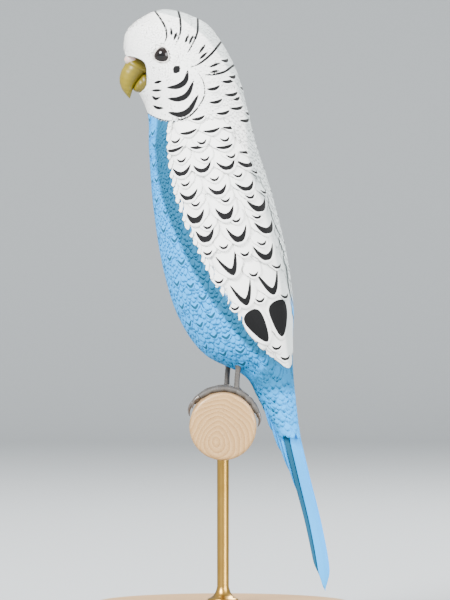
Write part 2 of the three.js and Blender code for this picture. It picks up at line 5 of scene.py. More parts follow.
import bpy
import numpy as np
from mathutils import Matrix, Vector


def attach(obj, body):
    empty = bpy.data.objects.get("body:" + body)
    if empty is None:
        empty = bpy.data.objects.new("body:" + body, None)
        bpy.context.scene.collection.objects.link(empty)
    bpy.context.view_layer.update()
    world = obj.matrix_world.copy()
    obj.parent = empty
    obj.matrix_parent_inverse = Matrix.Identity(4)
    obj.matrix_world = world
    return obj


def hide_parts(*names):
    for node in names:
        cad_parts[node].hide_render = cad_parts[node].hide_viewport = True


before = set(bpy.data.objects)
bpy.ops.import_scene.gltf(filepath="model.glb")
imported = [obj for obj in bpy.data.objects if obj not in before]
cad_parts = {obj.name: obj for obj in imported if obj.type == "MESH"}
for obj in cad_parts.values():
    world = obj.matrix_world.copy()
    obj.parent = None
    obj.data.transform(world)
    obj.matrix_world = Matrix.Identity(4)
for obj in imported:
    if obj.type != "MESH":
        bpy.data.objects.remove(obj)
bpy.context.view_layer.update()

MM = 0.001
rng = np.random.default_rng(7)

# Driving sizes, as in the solids
perch_radius = 11
perch_height = 67.2
perch_length = 50
base_radius = 46
base_thickness = 8
rod_radius = 2
gap = 0.3
foot_spread = 7
toe_radius = 1.1
eye_radius = 3.1
eye_opening = 2.15

# Ribs of the body in side view: front x and z, back x and z, half width
crown = (-20, 205.7)
body_ribs = [
    (-30.7, 200.3, -6.7, 201.7, 10),
    (-33.2, 193.3, 0, 194, 13.5),
    (-31, 183.3, 5, 184, 14.6),
    (-25.3, 171.3, 8.3, 172, 14.9),
    (-24.7, 158.7, 11, 161, 16.7),
    (-23.3, 140, 16.3, 144.3, 19.2),
    (-20, 119.3, 21.3, 124, 19.9),
    (-14.7, 102.7, 23.5, 107.3, 18),
    (-6.3, 90.7, 23.3, 96.3, 14.5),
    (6.7, 83.7, 23.3, 88, 9.6),
    (11.3, 76.7, 24, 78, 6.6),
    (17.7, 63, 25.7, 64, 3.9),
    (22.6, 50, 28.4, 50.5, 2.6),
]
hollow_centre = (-37, 0, 183.2)
hollow_radii = (12.8, 34, 6.9)
hollow_rim = 0.9

# Wing: its front edge in side view, and its back edge in degrees from the middle of the back
wing_front_seen = [
    (-14.5, 170),
    (-18.3, 167),
    (-19, 160),
    (-18.3, 151),
    (-16.7, 143),
    (-13.9, 134.5),
    (-10.4, 127),
    (-6.8, 119),
    (-2, 111),
    (3.4, 103.4),
    (10, 95),
    (15.4, 90),
    (20.4, 86.4),
]
wing_back = [60, 43, 30, 20, 13, 8.5, 6, 5.5, 6.5, 14]
wing_shoulder = 4.3
wing_tip = 10.35


def linear(code):
    """Linear colour, with alpha, from an sRGB hex value."""
    channels = [int(code[i:i + 2], 16) / 255 for i in (0, 2, 4)]
    return [c / 12.92 if c <= 0.04045 else ((c + 0.055) / 1.055) ** 2.4 for c in channels] + [1.0]


def smooth(value, low, high):
    """0 below low, 1 above high, and a soft step between."""
    t = np.clip((value - low) / (high - low), 0, 1)
    return t * t * (3 - 2 * t)


def mix(a, b, share):
    """A share of the way from one colour to another."""
    return a + (b - a) * np.asarray(share)[..., None]


def unit(vectors):
    length = np.linalg.norm(vectors, axis=-1, keepdims=True)
    return vectors / np.maximum(length, 1e-9)


def smooth_line(points, share):
    """Places on the smooth curve through points, at shares of its count of steps."""
    points = np.asarray(points, float)
    padded = np.vstack([2 * points[0] - points[1], points, 2 * points[-1] - points[-2]])
    place = np.clip(share, 0, 1) * (len(points) - 1)
    step = np.minimum(place.astype(int), len(points) - 2)
    t = (place - step)[..., None]
    before, start, end, after = (padded[step + k] for k in range(4))
    leave, reach = (end - before) / 2, (after - start) / 2
    cubic = 2 * (start - end) + leave + reach
    square = 3 * (end - start) - 2 * leave - reach
    return start + t * (leave + t * (square + t * cubic))


def drawn_in(points):
    """The outline with the face drawn back round the bill, where the solids have a hollow."""
    centre, radii = np.array(hollow_centre), np.array(hollow_radii)
    y, z = points[..., 1] / radii[1], (points[..., 2] - centre[2]) / radii[2]
    wall = centre[0] + radii[0] * np.sqrt(np.clip(1 - y * y - z ** 4, 0, 1))
    depth = np.maximum(wall - points[..., 0], 0)
    moved = points.copy()
    moved[..., 0] += depth * depth / (depth + hollow_rim)
    return moved


class Form:
    """A surface lofted through ribs in the middle plane. The angle runs from the back (0) over the
    bird's left side to the front (pi), and s counts the ribs from the pole."""

    def __init__(self, pole, ribs, reshape=None):
        first = ribs[0]
        tip = (pole[0], 0, pole[1])
        self.front = [(first[2], -first[4], first[3]), tip] + [(r[0], r[4], r[1]) for r in ribs]
        self.back = [(first[0], -first[4], first[1]), tip] + [(r[2], r[4], r[3]) for r in ribs]
        self.count = len(ribs)
        self.reshape = reshape

    def on(self, s, angle):
        """Points of the surface."""
        s, angle = np.broadcast_arrays(np.asarray(s, float), np.asarray(angle, float))
        share = (s + 1) / (self.count + 1)
        front = smooth_line(self.front, share)
        back = smooth_line(self.back, share)
        blend = (1 + np.cos(angle)) / 2
        x = front[..., 0] + (back[..., 0] - front[..., 0]) * blend
        z = front[..., 2] + (back[..., 2] - front[..., 2]) * blend
        points = np.stack([x, -np.maximum(front[..., 1], 0) * np.sin(angle), z], -1)
        return self.reshape(points) if self.reshape else points

    def slopes(self, s, angle):
        """Steps along the ribs and around them, and the outward normal."""
        step = 0.02
        along = (self.on(s + step, angle) - self.on(s - step, angle)) / (2 * step)
        around = (self.on(s, angle + step) - self.on(s, angle - step)) / (2 * step)
        return along, around, unit(np.cross(around, along))

    def at(self, s, angle, height):
        """Points raised above the surface."""
        return self.on(s, angle) + self.slopes(s, angle)[2] * np.asarray(height)[..., None]

    def seen_at(self, x, z):
        """The places on the left side that show at x, z in side view."""
        x, z = np.asarray(x, float), np.asarray(z, float)
        s, angle = np.full(x.shape, 2.0), np.full(x.shape, math.pi / 2)
        for _ in range(40):
            here = self.on(s, angle)
            along, around, _ = self.slopes(s, angle)
            det = along[..., 0] * around[..., 2] - along[..., 2] * around[..., 0]
            dx, dz = x - here[..., 0], z - here[..., 2]
            s = s + np.clip((dx * around[..., 2] - dz * around[..., 0]) / det, -0.5, 0.5)
            angle = angle + np.clip((along[..., 0] * dz - along[..., 2] * dx) / det, -0.3, 0.3)
        return s, angle


body = Form(crown, body_ribs, drawn_in)

# The wing's two edges on the body form
seen_x, seen_z = np.array(wing_front_seen, float).T
front_s, front_angle = body.seen_at(seen_x, seen_z)
fine = np.linspace(0, 1, 200)
front_line = smooth_line(np.stack([front_s, front_angle], -1), fine)
back_stations = np.linspace(wing_shoulder, wing_tip, len(wing_back))
back_line = smooth_line(np.stack([back_stations, np.radians(wing_back)], -1), fine)


def front_edge(s):
    return np.interp(s, front_line[:, 0], front_line[:, 1])


def back_edge(s):
    return np.interp(s, back_line[:, 0], back_line[:, 1])


def wing_angle(s, v):
    """Angle on the wing at share v from its front edge (0) to its back edge (1)."""
    front = front_edge(s)
    return front + (back_edge(s) - front) * v


def wing_share(s, angle):
    """Where a place lies across the folded wing of its side: 0 at the front edge, 1 at the back."""
    turn = np.abs(np.angle(np.exp(1j * np.asarray(angle))))
    front = front_edge(s)
    return (front - turn) / (front - back_edge(s))


def under_wing(s, angle):
    """1 well under a folded wing, 0 outside it, with a soft step inside its edge."""
    share = wing_share(s, angle)
    inside = np.minimum(share, 1 - share) * 8
    ends = np.minimum(s - wing_shoulder, wing_tip - 0.1 - s) * 6
    return smooth(np.minimum(inside, ends), 0, 1)


# The chart: the body's surface laid flat round the crown, so that feathers cross the crown evenly
def to_chart(s, angle):
    return np.stack([s * np.cos(angle), s * np.sin(angle)], -1)


def from_chart(place):
    return np.hypot(place[..., 0], place[..., 1]), np.arctan2(place[..., 1], place[..., 0])


def chart_point(place):
    return body.on(*from_chart(place))


def chart_slopes(place):
    step = 0.02
    east, north = np.array([step, 0]), np.array([0, step])
    dx = (chart_point(place + east) - chart_point(place - east)) / (2 * step)
    dy = (chart_point(place + north) - chart_point(place - north)) / (2 * step)
    return dx, dy, unit(np.cross(dy, dx))


def chart_shift(place, shift):
    """How far the chart moves for a small move along the surface."""
    dx, dy, _ = chart_slopes(place)
    xx, yy, xy = (dx * dx).sum(-1), (dy * dy).sum(-1), (dx * dy).sum(-1)
    sx, sy = (shift * dx).sum(-1), (shift * dy).sum(-1)
    det = xx * yy - xy * xy
    return np.stack([(sx * yy - sy * xy) / det, (sy * xx - sx * xy) / det], -1)


def moved(place, shift):
    """The chart's place after a small shift, which follows the ring round the body where the
    crown is far."""
    s, angle = from_chart(place)
    out = place / np.maximum(s, 1e-6)[..., None]
    aside = np.stack([-out[..., 1], out[..., 0]], -1)
    turn = (shift * aside).sum(-1) / np.maximum(s, 0.5)
    round_it = to_chart(s + (shift * out).sum(-1), angle + turn)
    return place + shift + (round_it - place - shift) * smooth(s, 1, 2.5)[..., None]


# Meshes and pieces. Skin, feathers, bill, toes and claws are written as meshes: each follows a
# measured surface too closely to be drawn out of a primitive, and the feathers are too many.
def piece_from(name, points, faces, flat_last=False):
    """A smooth mesh object from points in millimetres and groups of faces. The last group stays
    flat where it closes the edge of a thin vane, so that the edge is crisp."""
    mesh = bpy.data.meshes.new(name)
    corners = np.concatenate([np.asarray(face).ravel() for face in faces])
    counts = np.concatenate([np.full(len(face), face.shape[1]) for face in faces])
    starts = np.cumsum(counts) - counts
    mesh.vertices.add(len(points))
    mesh.vertices.foreach_set("co", (np.asarray(points) * MM).astype(np.float32).ravel())
    mesh.loops.add(len(corners))
    mesh.loops.foreach_set("vertex_index", corners.astype(np.int32))
    mesh.polygons.add(len(counts))
    mesh.polygons.foreach_set("loop_start", starts.astype(np.int32))
    mesh.update(calc_edges=True)
    smooth_count = len(counts) - (len(faces[-1]) if flat_last else 0)
    mesh.polygons.foreach_set("use_smooth", np.arange(len(counts)) < smooth_count)
    piece = bpy.data.objects.new(name, mesh)
    bpy.context.collection.objects.link(piece)
    return piece


def keep(piece, name, values):
    """Stores one number, three or a colour for each vertex, under a name that materials read."""
    values = np.asarray(values, np.float32)
    kind, field = "FLOAT", "value"
    if values.ndim == 2 and name in ("Plumage", "Ink"):
        kind, field = "FLOAT_COLOR", "color"
        values = np.hstack([values, np.ones((len(values), 1), np.float32)])
    elif values.ndim == 2:
        kind, field = "FLOAT_VECTOR", "vector"
    attribute = piece.data.attributes.new(name, kind, "POINT")
    attribute.data.foreach_set(field, values.ravel())


def keep_map(piece, places):
    """Stores each vertex's place on the flat map of its surface. A face that crosses the map's
    seam gets its far corners moved to the near side."""
    mesh = piece.data
    corners = np.empty(len(mesh.loops), np.int32)
    mesh.loops.foreach_get("vertex_index", corners)
    starts = np.empty(len(mesh.polygons), np.int32)
    mesh.polygons.foreach_get("loop_start", starts)
    uv = np.asarray(places, np.float32)[corners]
    widest = np.maximum.reduceat(uv[:, 0], starts)
    sizes = np.diff(np.append(starts, len(corners)))
    uv[:, 0] += (np.repeat(widest, sizes) - uv[:, 0] > 0.5)
    layer = mesh.uv_layers.new(name="OFBake")
    layer.data.foreach_set("uv", uv.ravel())


def finish_piece(piece, material, slot, *nodes):
    piece.data.materials.clear()
    piece.data.materials.append(material)
    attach(piece, "root")
    if nodes:
        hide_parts(*nodes)
    return piece


def grid_faces(rows, columns, wrap=False):
    """Quads of a grid of points, row by row."""
    across = np.arange(columns if wrap else columns - 1)
    down = np.arange(rows - 1)[:, None] * columns
    after = (across + 1) % columns
    quads = [down + across, down + after, down + columns + after, down + columns + across]
    return np.stack(np.broadcast_arrays(*quads), -1).reshape(-1, 4)


def slab_faces(rows, columns):
    """Faces of a thin slab: an upper grid of points, then a lower one alike, and its rim."""
    count = rows * columns
    grid = np.arange(count).reshape(rows, columns)
    rim = np.concatenate([grid[0], grid[1:, -1], grid[-1, -2::-1], grid[-2:0:-1, 0]])
    after = np.roll(rim, -1)
    quads = grid_faces(rows, columns)
    return [quads, quads[:, ::-1] + count, np.stack([after, rim, rim + count, after + count], -1)]


def ring_faces(rows, around):
    """Faces of rings of points, with a last point at each end."""
    ring = np.arange(around)
    after = (ring + 1) % around
    count, foot = rows * around, (rows - 1) * around
    start = np.stack([np.full(around, count), after, ring], -1)
    end = np.stack([np.full(around, count + 1), foot + ring, foot + after], -1)
    return [grid_faces(rows, around, wrap=True), start, end]


def closed_shell(name, form, first, last, rows, around, height):
    """A closed surface of a form between two ribs, with the rib and angle of each point."""
    s, angle = np.meshgrid(np.linspace(first, last, rows + 2)[1:-1],
                           np.linspace(0, 2 * math.pi, around, endpoint=False), indexing="ij")
    rings = form.at(s, angle, height(s, angle)).reshape(-1, 3)
    ends = []
    for rib, ring in ((first, rings[:around]), (last, rings[-around:])):
        middle = (form.on(rib, 0.0) + form.on(rib, math.pi)) / 2
        ends.append(middle + (ring.mean(0) - middle) * (0.5 if rib == 0 else 0))
    points = np.vstack([rings, ends])
    s = np.concatenate([s.ravel(), [first, last]])
    angle = np.concatenate([angle.ravel(), [0, 0]])
    return piece_from(name, points, ring_faces(rows, around)), points, s, angle


def tube(name, line, radii, around, rough, faceward=None):
    """A closed tube along a line of points with a radius at each, its ends rounded. rough(share,
    turn) raises its surface, with the turn counted from the side that faces away from the perch,
    or from another direction."""
    line, radii = np.asarray(line, float), np.asarray(radii, float)
    ahead = unit(np.gradient(line, axis=0))
    outward = line * [1, 0, 1] - np.array([0, 0, perch_height]) if faceward is None else np.array(faceward)
    outward = unit(outward - ahead * (outward * ahead).sum(-1, keepdims=True))
    side = np.cross(ahead, outward)
    share = np.linspace(0, 1, len(line))
    caps = np.sqrt(1 - np.clip(1 - np.minimum(share, 1 - share) * len(line) / 3, 0, 0.96) ** 2)
    turn = np.linspace(0, 2 * math.pi, around, endpoint=False)
    swell = radii[:, None] + rough(share[:, None], turn[None, :])
    swell = swell * caps[:, None]
    rings = (line[:, None] + outward[:, None] * (swell * np.cos(turn))[..., None]
             + side[:, None] * (swell * np.sin(turn))[..., None])
    ends = [line[0] - ahead[0] * radii[0] * 0.1, line[-1] + ahead[-1] * radii[-1] * 0.1]
    return piece_from(name, np.vstack([rings.reshape(-1, 3), ends]), ring_faces(len(line), around))


# Colours of skin and plumage, and the black lines of the head. Nothing here comes from a picture:
# every colour is worked out from a place on the bird.
white = np.array(linear("F4F4F1")[:3])
# Grey of the painted shade along the back edge
shade = np.array(linear("B2BAB9")[:3])
black = np.array(linear("0B0B0C")[:3])
blue = np.array(linear("159BE9")[:3])
deep_blue = np.array(linear("14516E")[:3])

# Lines in side view, each with its half thickness at the middle
nape_lines = [
    ([(-24.2, 208), (-22.7, 205), (-19.5, 199.8), (-18.6, 196), (-19.4, 193.6)], 0.38),
    ([(-15.6, 209), (-15, 205.5), (-14.1, 201), (-14.2, 196.6), (-16.1, 192.2)], 0.41),
    ([(-8.2, 206), (-8.4, 203), (-8.4, 198), (-9.6, 194), (-12.3, 189.3)], 0.4),
    ([(2, 198), (-0.3, 195), (-3.6, 190.4), (-7.4, 187), (-11, 185.4)], 0.41),
    ([(7, 189.5), (4, 187.2), (0.7, 184.4), (-3, 183.2), (-6.3, 183)], 0.4),
    ([(-17.2, 198.7), (-16.9, 195.8)], 0.46),
    ([(-15.2, 197.2), (-16.3, 194.4)], 0.46),
    ([(-11.3, 196.7), (-12.6, 193.3)], 0.46),
    ([(-9.8, 196.3), (-11.2, 193.2)], 0.46),
    ([(-5.8, 193.3), (-8, 190)], 0.46),
    ([(-5.1, 190.7), (-7.8, 188.2)], 0.46),
    ([(-0.8, 187.3), (-4.5, 185.6)], 0.46),
    ([(-1.3, 184.6), (-4.3, 183.9)], 0.46),
]
cheek_marks = [
    ([(-18.3, 178.8), (-14.8, 179.2), (-12.4, 181), (-11.6, 184.3)], 0.95),
    ([(-18, 175.2), (-14.6, 175), (-11.7, 176.6), (-9.7, 180.8)], 0.95),
    ([(-17.9, 170.6), (-14.2, 169.9), (-11.1, 171.4), (-8.2, 176.2)], 1),
    ([(-16.2, 183.8), (-14.4, 185.7)], 1.3),
    ([(-22.8, 180.4), (-20.2, 181)], 0.5),
    ([(-23.6, 178), (-20.3, 178)], 0.46),
    ([(-23.5, 176.3), (-22.3, 175.3), (-20.8, 175.7)], 0.5),
    ([(-23.2, 173.2), (-21.6, 172.3), (-19.5, 172.2)], 0.5),
]
mask_edge = [(-27, 172.6), (-24.3, 170.3), (-20.5, 168.4), (-16, 167.7), (-12.6, 168.6), (-10.2, 170),
             (-7.4, 173.4), (-6, 177), (-6.6, 181), (-8.5, 184.2)]
head_lines = nape_lines + cheek_marks + [(mask_edge, 0.3)]
mask_x, mask_z = np.array(mask_edge[:5]).T


def ink_edge(points):
    """How far each point lies outside the nearest black line, in side view."""
    x, z = points[..., 0].ravel(), points[..., 2].ravel()
    edge = np.full(x.shape, 3.0)
    reach = 2.5
    for corners, thick in head_lines:
        run = np.linalg.norm(np.diff(corners, axis=0), axis=1).sum()
        steps = np.linspace(0, 1, int(run * 6))
        line = smooth_line(corners, steps)
        low, high = line.min(0) - reach, line.max(0) + reach
        near = (x > low[0]) & (x < high[0]) & (z > low[1]) & (z < high[1])
        if not near.any():
            continue
        away = np.hypot(x[near, None] - line[:, 0], z[near, None] - line[:, 1])
        closest = away.argmin(1)
        half = thick * np.sin(math.pi * (0.03 + 0.94 * steps[closest])) ** 0.6
        edge[near] = np.minimum(edge[near], away[np.arange(len(closest)), closest] - half)
    return edge


# Line down the back edge in side view, behind which the painted shade lies
shade_line = [(22, 86), (21, 93), (19, 113), (17, 125), (13, 141), (9.3, 150), (8, 160), (7, 172), (4, 181),
              (-0.3, 188.7), (-6, 196), (-14, 202), (-24, 205)]
shade_x, shade_z = np.array(shade_line).T


def wing_edge_seen(z):
    """Where the wing's front edge lies in side view at each height."""
    return np.interp(z, seen_z[::-1][:-1], seen_x[::-1][:-1], left=60, right=-18.3)


def shaded(points):
    """White, turning to a painted grey shade behind a line that runs down the back edge in side view."""
    x, z = points[..., 0], points[..., 2]
    share = smooth(x - np.interp(z, shade_z, shade_x), -0.5, 0.6)
    return mix(np.broadcast_to(white, points.shape), shade, 0.85 * share)


# Limits of the blues in side view: distances ahead of the wing's edge, heights, and the slanting edge of the
# darker patch behind the belly. The darker band ahead of the wing's edge is painted shadow of the wing, and
# the darker patch is painted shadow below the wing tips
blue_start = (-3.6, -2.8)
wing_edge_shadow_start = (-3, -2)
wing_edge_shadow_end = (3, 4.2)
wing_edge_shadow_foot = (84, 92)
belly_top = (104, 112)
tip_shadow_x, tip_shadow_z, tip_shadow_slant = 13, 86, 0.73
tip_shadow_top = (94, 97)
tip_shadow_foot = (76, 81)
wing_edge_shadow_share = 0.95
tip_shadow_share = 0.75


def plumage(points):
    """Colour of skin and small feathers at points of the body, without the black lines. It holds painted
    shade along the back, and painted shadow along the wing's front edge and below the wing tips.
    """
    x, z = points[..., 0], points[..., 2]
    ahead = wing_edge_seen(z) - x
    below_mask = smooth(np.interp(x, mask_x, mask_z) - z, -0.2, 0.3)
    is_blue = smooth(ahead, *blue_start) * below_mask
    is_blue = np.maximum(is_blue, 1 - smooth(z, *belly_top))
    # Painted shadow of the wing: a darker blue band ahead of its front edge
    wing_edge_shadow = smooth(ahead, *wing_edge_shadow_start) * (1 - smooth(ahead, *wing_edge_shadow_end)) * smooth(z, *wing_edge_shadow_foot)
    body_blue = mix(np.broadcast_to(blue, points.shape), deep_blue, wing_edge_shadow_share * wing_edge_shadow)
    # Painted shadow below the wing tips: a darker blue patch behind the belly
    tip_shadow = smooth(x - tip_shadow_x - tip_shadow_slant * (z - tip_shadow_z), -0.4, 0.4)
    tip_shadow = tip_shadow * (1 - smooth(z, *tip_shadow_top)) * smooth(z, *tip_shadow_foot)
    body_blue = mix(body_blue, deep_blue, tip_shadow_share * tip_shadow)
    return mix(shaded(points), body_blue, is_blue)


# Vanes: one feather is modelled on a flat grid, and laid along the surface for every root
class Vane:
    """A feather on a grid: p runs across it from -1 to 1, and q from its root to its blunt tip. A
    small one has its rim for its underside, and a large one has a thin slab's."""

    def __init__(self, across, along, blunt, low=0.22, high=0.86, taper=0.6, thickness=0):
        p, q = np.meshgrid(np.linspace(-1, 1, across + 1), np.linspace(0, 1, along + 1))
        grid = np.arange(p.size).reshape(p.shape)
        if thickness:
            p, q = np.vstack([p, p]), np.vstack([q, q])
            self.faces = slab_faces(along + 1, across + 1)
        else:
            rim = np.concatenate([grid[0], grid[1:, -1], grid[-1, -2::-1], grid[-2:0:-1, 0]])
            self.faces = [grid_faces(along + 1, across + 1), rim[None, ::-1]]
        self.p, self.q = p.ravel(), q.ravel()
        self.drop = np.where(np.arange(self.p.size) < grid.size, 0, thickness)
        self.reach = self.q - blunt * self.p ** 2 * self.q ** 3
        self.profile = np.sin(math.pi * (low + (high - low) * self.q)) ** taper

    def spread(self, count):
        """The faces of many copies of the vane."""
        shift = np.arange(count)[:, None, None] * self.p.size
        return [(face[None] + shift).reshape(-1, face.shape[1]) for face in self.faces]


def held(value, low, high, soft):
    """The value, kept between two limits that it nears more and more slowly."""
    value = np.where(value > high - soft, high - soft * np.exp((high - soft - value) / soft), value)
    return np.where(value < low + soft, low + soft * np.exp((value - low - soft) / soft), value)


def within_wing(s, angle):
    """Rib and angle kept inside the folded wing's edges."""
    s = held(s, wing_shoulder - 0.05, wing_tip, 0.12)
    share = held(wing_share(s, angle), 0, 1, 0.05)
    return s, np.sign(angle) * wing_angle(s, share)


def lay_vanes(vane, roots, tips, widths, lows, highs, crown=0.12, arch=0.6, bows=0, in_wing=False):
    """Points of vanes laid from roots to tips on the body's chart, with their heights over the
    outline at root and tip. Bows bend their paths at the middle. Returns the points, and each one's
    millimetres across and from the root."""
    reach = vane.reach[None, :, None]
    bend = np.broadcast_to(bows, roots.shape)[:, None]
    run = (tips - roots)[:, None] + 4 * bend * (1 - 2 * reach)
    path = roots[:, None] + (tips - roots)[:, None] * reach + 4 * bend * reach * (1 - reach)
    dx, dy, normal = chart_slopes(path)
    forward = unit(dx * run[..., :1] + dy * run[..., 1:])
    side = unit(np.cross(forward, normal))
    half = widths[:, None] / 2 * vane.profile * vane.p
    s, angle = from_chart(moved(path, chart_shift(path, side * half[..., None])))
    if in_wing:
        s, angle = within_wing(s, angle)
    rise = lows[:, None] + (highs - lows)[:, None] * vane.q ** arch
    rise = rise - crown * widths[:, None] / 2 * vane.p ** 2 - vane.drop
    lengths = np.linalg.norm(chart_point(tips) - chart_point(roots), axis=-1)
    along = vane.reach[None] * lengths[:, None]
    return body.at(s, angle, rise).reshape(-1, 3), half.reshape(-1), along.reshape(-1)


def scatter(points, spacing):
    """Keeps points in turn where no kept one is nearer than the spacing there."""
    cell = spacing.max()
    keys = np.floor(points / cell).astype(int)
    kept, grid = [], {}
    steps = [(i, j, k) for i in (-1, 0, 1) for j in (-1, 0, 1) for k in (-1, 0, 1)]
    for index, (key, here) in enumerate(zip(keys, points)):
        near = (grid.get((key[0] + i, key[1] + j, key[2] + k), ()) for i, j, k in steps)
        if any(((here - other) ** 2).sum() < spacing[index] ** 2 for cells in near for other in cells):
            continue
        grid.setdefault(tuple(key), []).append(here)
        kept.append(index)
    return np.array(kept)


# The face's own places
bill_base = np.array([-31, 0, 184.0])
eye_s, eye_angle = body.seen_at(-20.3, 189.6)
eye_out = body.slopes(eye_s, eye_angle)[2]
eye_sink = math.sqrt(eye_radius ** 2 - eye_opening ** 2) - 0.1
eye_centre = body.at(eye_s, eye_angle, -eye_sink)
eye_places = np.array([eye_centre, eye_centre * [1, -1, 1]])

# Bare patches: the bill's back limit and height, with its half width and half height, and the
# cere's back limit, half width and two heights
bill_patch = ((-22, 184.4), (4.6, 6.2))
cere_patch = (-27, 3.6, 186, 191.2)


# Depth of the skin under the tips of the coat at distances from the bill, and under a wing
depth_stations = [6, 14, 35, 60]
coat_depths = [0.35, 0.45, 0.45, 0.32]
depth_in_wing = 2.85
tip_depth_in_wing = 2.5

# The coat's lie: how far the face's reaches, and which way it goes down the body
face_range = 18
down_body = np.array([0.16, 0, -1])


def coat_depth(s, angle):
    """How deep the skin lies under the tips of the coat: least on the face, most under a wing."""
    from_bill = np.linalg.norm(body.on(s, angle) - bill_base, axis=-1)
    depth = np.interp(from_bill, depth_stations, coat_depths)
    return depth + (depth_in_wing - depth) * under_wing(s, angle)


def lie(points, normals):
    """Direction in which the coat lies: back from the bill over the head, then down the body."""
    away = points - bill_base
    near = np.exp(-np.linalg.norm(away, axis=-1, keepdims=True) / face_range)
    flow = unit(away) * near + down_body * (1 - near)
    return unit(flow - normals * (flow * normals).sum(-1, keepdims=True))


def walk(place, distance, lean=0, steps=5):
    """Where a walk over the surface ends, along the lie of the coat or leaning aside from it."""
    lean = np.broadcast_to(lean, place.shape[:-1])[..., None]
    for _ in range(steps):
        normal = chart_slopes(place)[2]
        flow = lie(chart_point(place), normal)
        flow = flow * np.cos(lean) + np.cross(normal, flow) * np.sin(lean)
        place = moved(place, chart_shift(place, flow * np.asarray(distance)[..., None] / steps))
    return place


def clear_of_face(points, tips):
    """False for a feather that would grow from or reach over the eyes, the bill or the cere."""
    clear = np.ones(len(points), bool)
    for eye in eye_places:
        for place, room in ((points, 0.5), (tips, 0.4), ((points + tips) / 2, 0.35)):
            clear &= np.linalg.norm(place - eye, axis=-1) > eye_radius + room
    x, y, z = points[..., 0], np.abs(points[..., 1]), points[..., 2]
    (bill_x, bill_z), (half_width, half_height) = bill_patch
    at_bill = ((y / half_width) ** 2 + ((z - bill_z) / half_height) ** 2 < 1) & (x < bill_x)
    cere_x, cere_y, cere_low, cere_high = cere_patch
    at_cere = (y < cere_y) & (x < cere_x) & (z > cere_low) & (z < cere_high)
    return clear & ~at_bill & ~at_cere


# Materials
maths, split, ramp = "ShaderNodeMath", "ShaderNodeSeparateXYZ", "ShaderNodeMapRange"
attribute, noise, blend, place_node = ("ShaderNodeAttribute", "ShaderNodeTexNoise", "ShaderNodeMix",
                                       "ShaderNodeTexCoord")
soft_ramp = {"interpolation_type": "SMOOTHSTEP"}
of_colours = {"data_type": "RGBA"}
blended = 2


def add(tree, kind, settings, inputs, output=0):
    """Adds a node with its settings. Each input is a value, or the socket linked to it. Gives one
    output, or all of them where output is None."""
    node = tree.nodes.new(kind)
    for name, value in settings.items():
        setattr(node, name, value)
    for name, value in inputs.items():
        if isinstance(value, bpy.types.NodeSocket):
            tree.links.new(value, node.inputs[name])
        else:
            node.inputs[name].default_value = value
    return node.outputs if output is None else node.outputs[output]


def start_material(name, **sockets):
    """A material with one shader, its plain sockets set from words such as coat_weight."""
    material = bpy.data.materials.new(name)
    material.use_nodes = True
    tree = material.node_tree
    shader = tree.nodes["Principled BSDF"]
    for word, value in sockets.items():
        shader.inputs[word.replace("_", " ").title().replace("Ior", "IOR")].default_value = value
    return material, tree, shader


# Spacing of the barbs as drawn, and the height of a shaft in barb heights
barb_gap = 0.5
shaft_height = 2.5


def keratin_vane(name, marked):
    """Feather keratin: barbs hooked together, matt, with hardly any gloss. Real barbs stand about
    0.15 mm apart, and are drawn 0.5 mm apart so that they show as fine slanting lines."""
    material, tree, shader = start_material(name, roughness=0.72, specular_ior_level=0.14)
    colour = add(tree, attribute, {"attribute_name": "Plumage"}, {}, "Color")
    vane = add(tree, attribute, {"attribute_name": "Vane"}, {}, "Vector")
    across, along, relief = add(tree, split, {}, {"Vector": vane}, None)
    away = add(tree, maths, {"operation": "ABSOLUTE"}, {0: across})
    if marked:
        cover, ink = mark_cover(tree)
    else:
        edge = add(tree, attribute, {"attribute_name": "InkEdge"}, {}, "Fac")
        cover = add(tree, ramp, soft_ramp,
                    {"Value": edge, "From Min": -0.07, "From Max": 0.07, "To Min": 1, "To Max": 0})
        ink = list(black) + [1]
    slant = add(tree, maths, {"operation": "SUBTRACT"}, {0: along, 1: away})
    slant = add(tree, maths, {"operation": "MULTIPLY"}, {0: slant, 1: 2 * math.pi / barb_gap})
    barbs = add(tree, maths, {"operation": "SINE"}, {0: slant})
    shaft = add(tree, ramp, soft_ramp,
                {"Value": away, "From Min": 0.05, "From Max": 0.25, "To Min": shaft_height, "To Max": 0})
    height = add(tree, maths, {"operation": "ADD"}, {0: barbs, 1: shaft})
    height = add(tree, maths, {"operation": "MULTIPLY"}, {0: height, 1: relief})
    bump = add(tree, "ShaderNodeBump", {}, {"Height": height, "Strength": 0.3, "Distance": 0.03 * MM})
    inked = add(tree, blend, of_colours, {0: cover, 6: colour, 7: ink}, blended)
    tree.links.new(inked, shader.inputs["Base Color"])
    tree.links.new(bump, shader.inputs["Normal"])
    return material


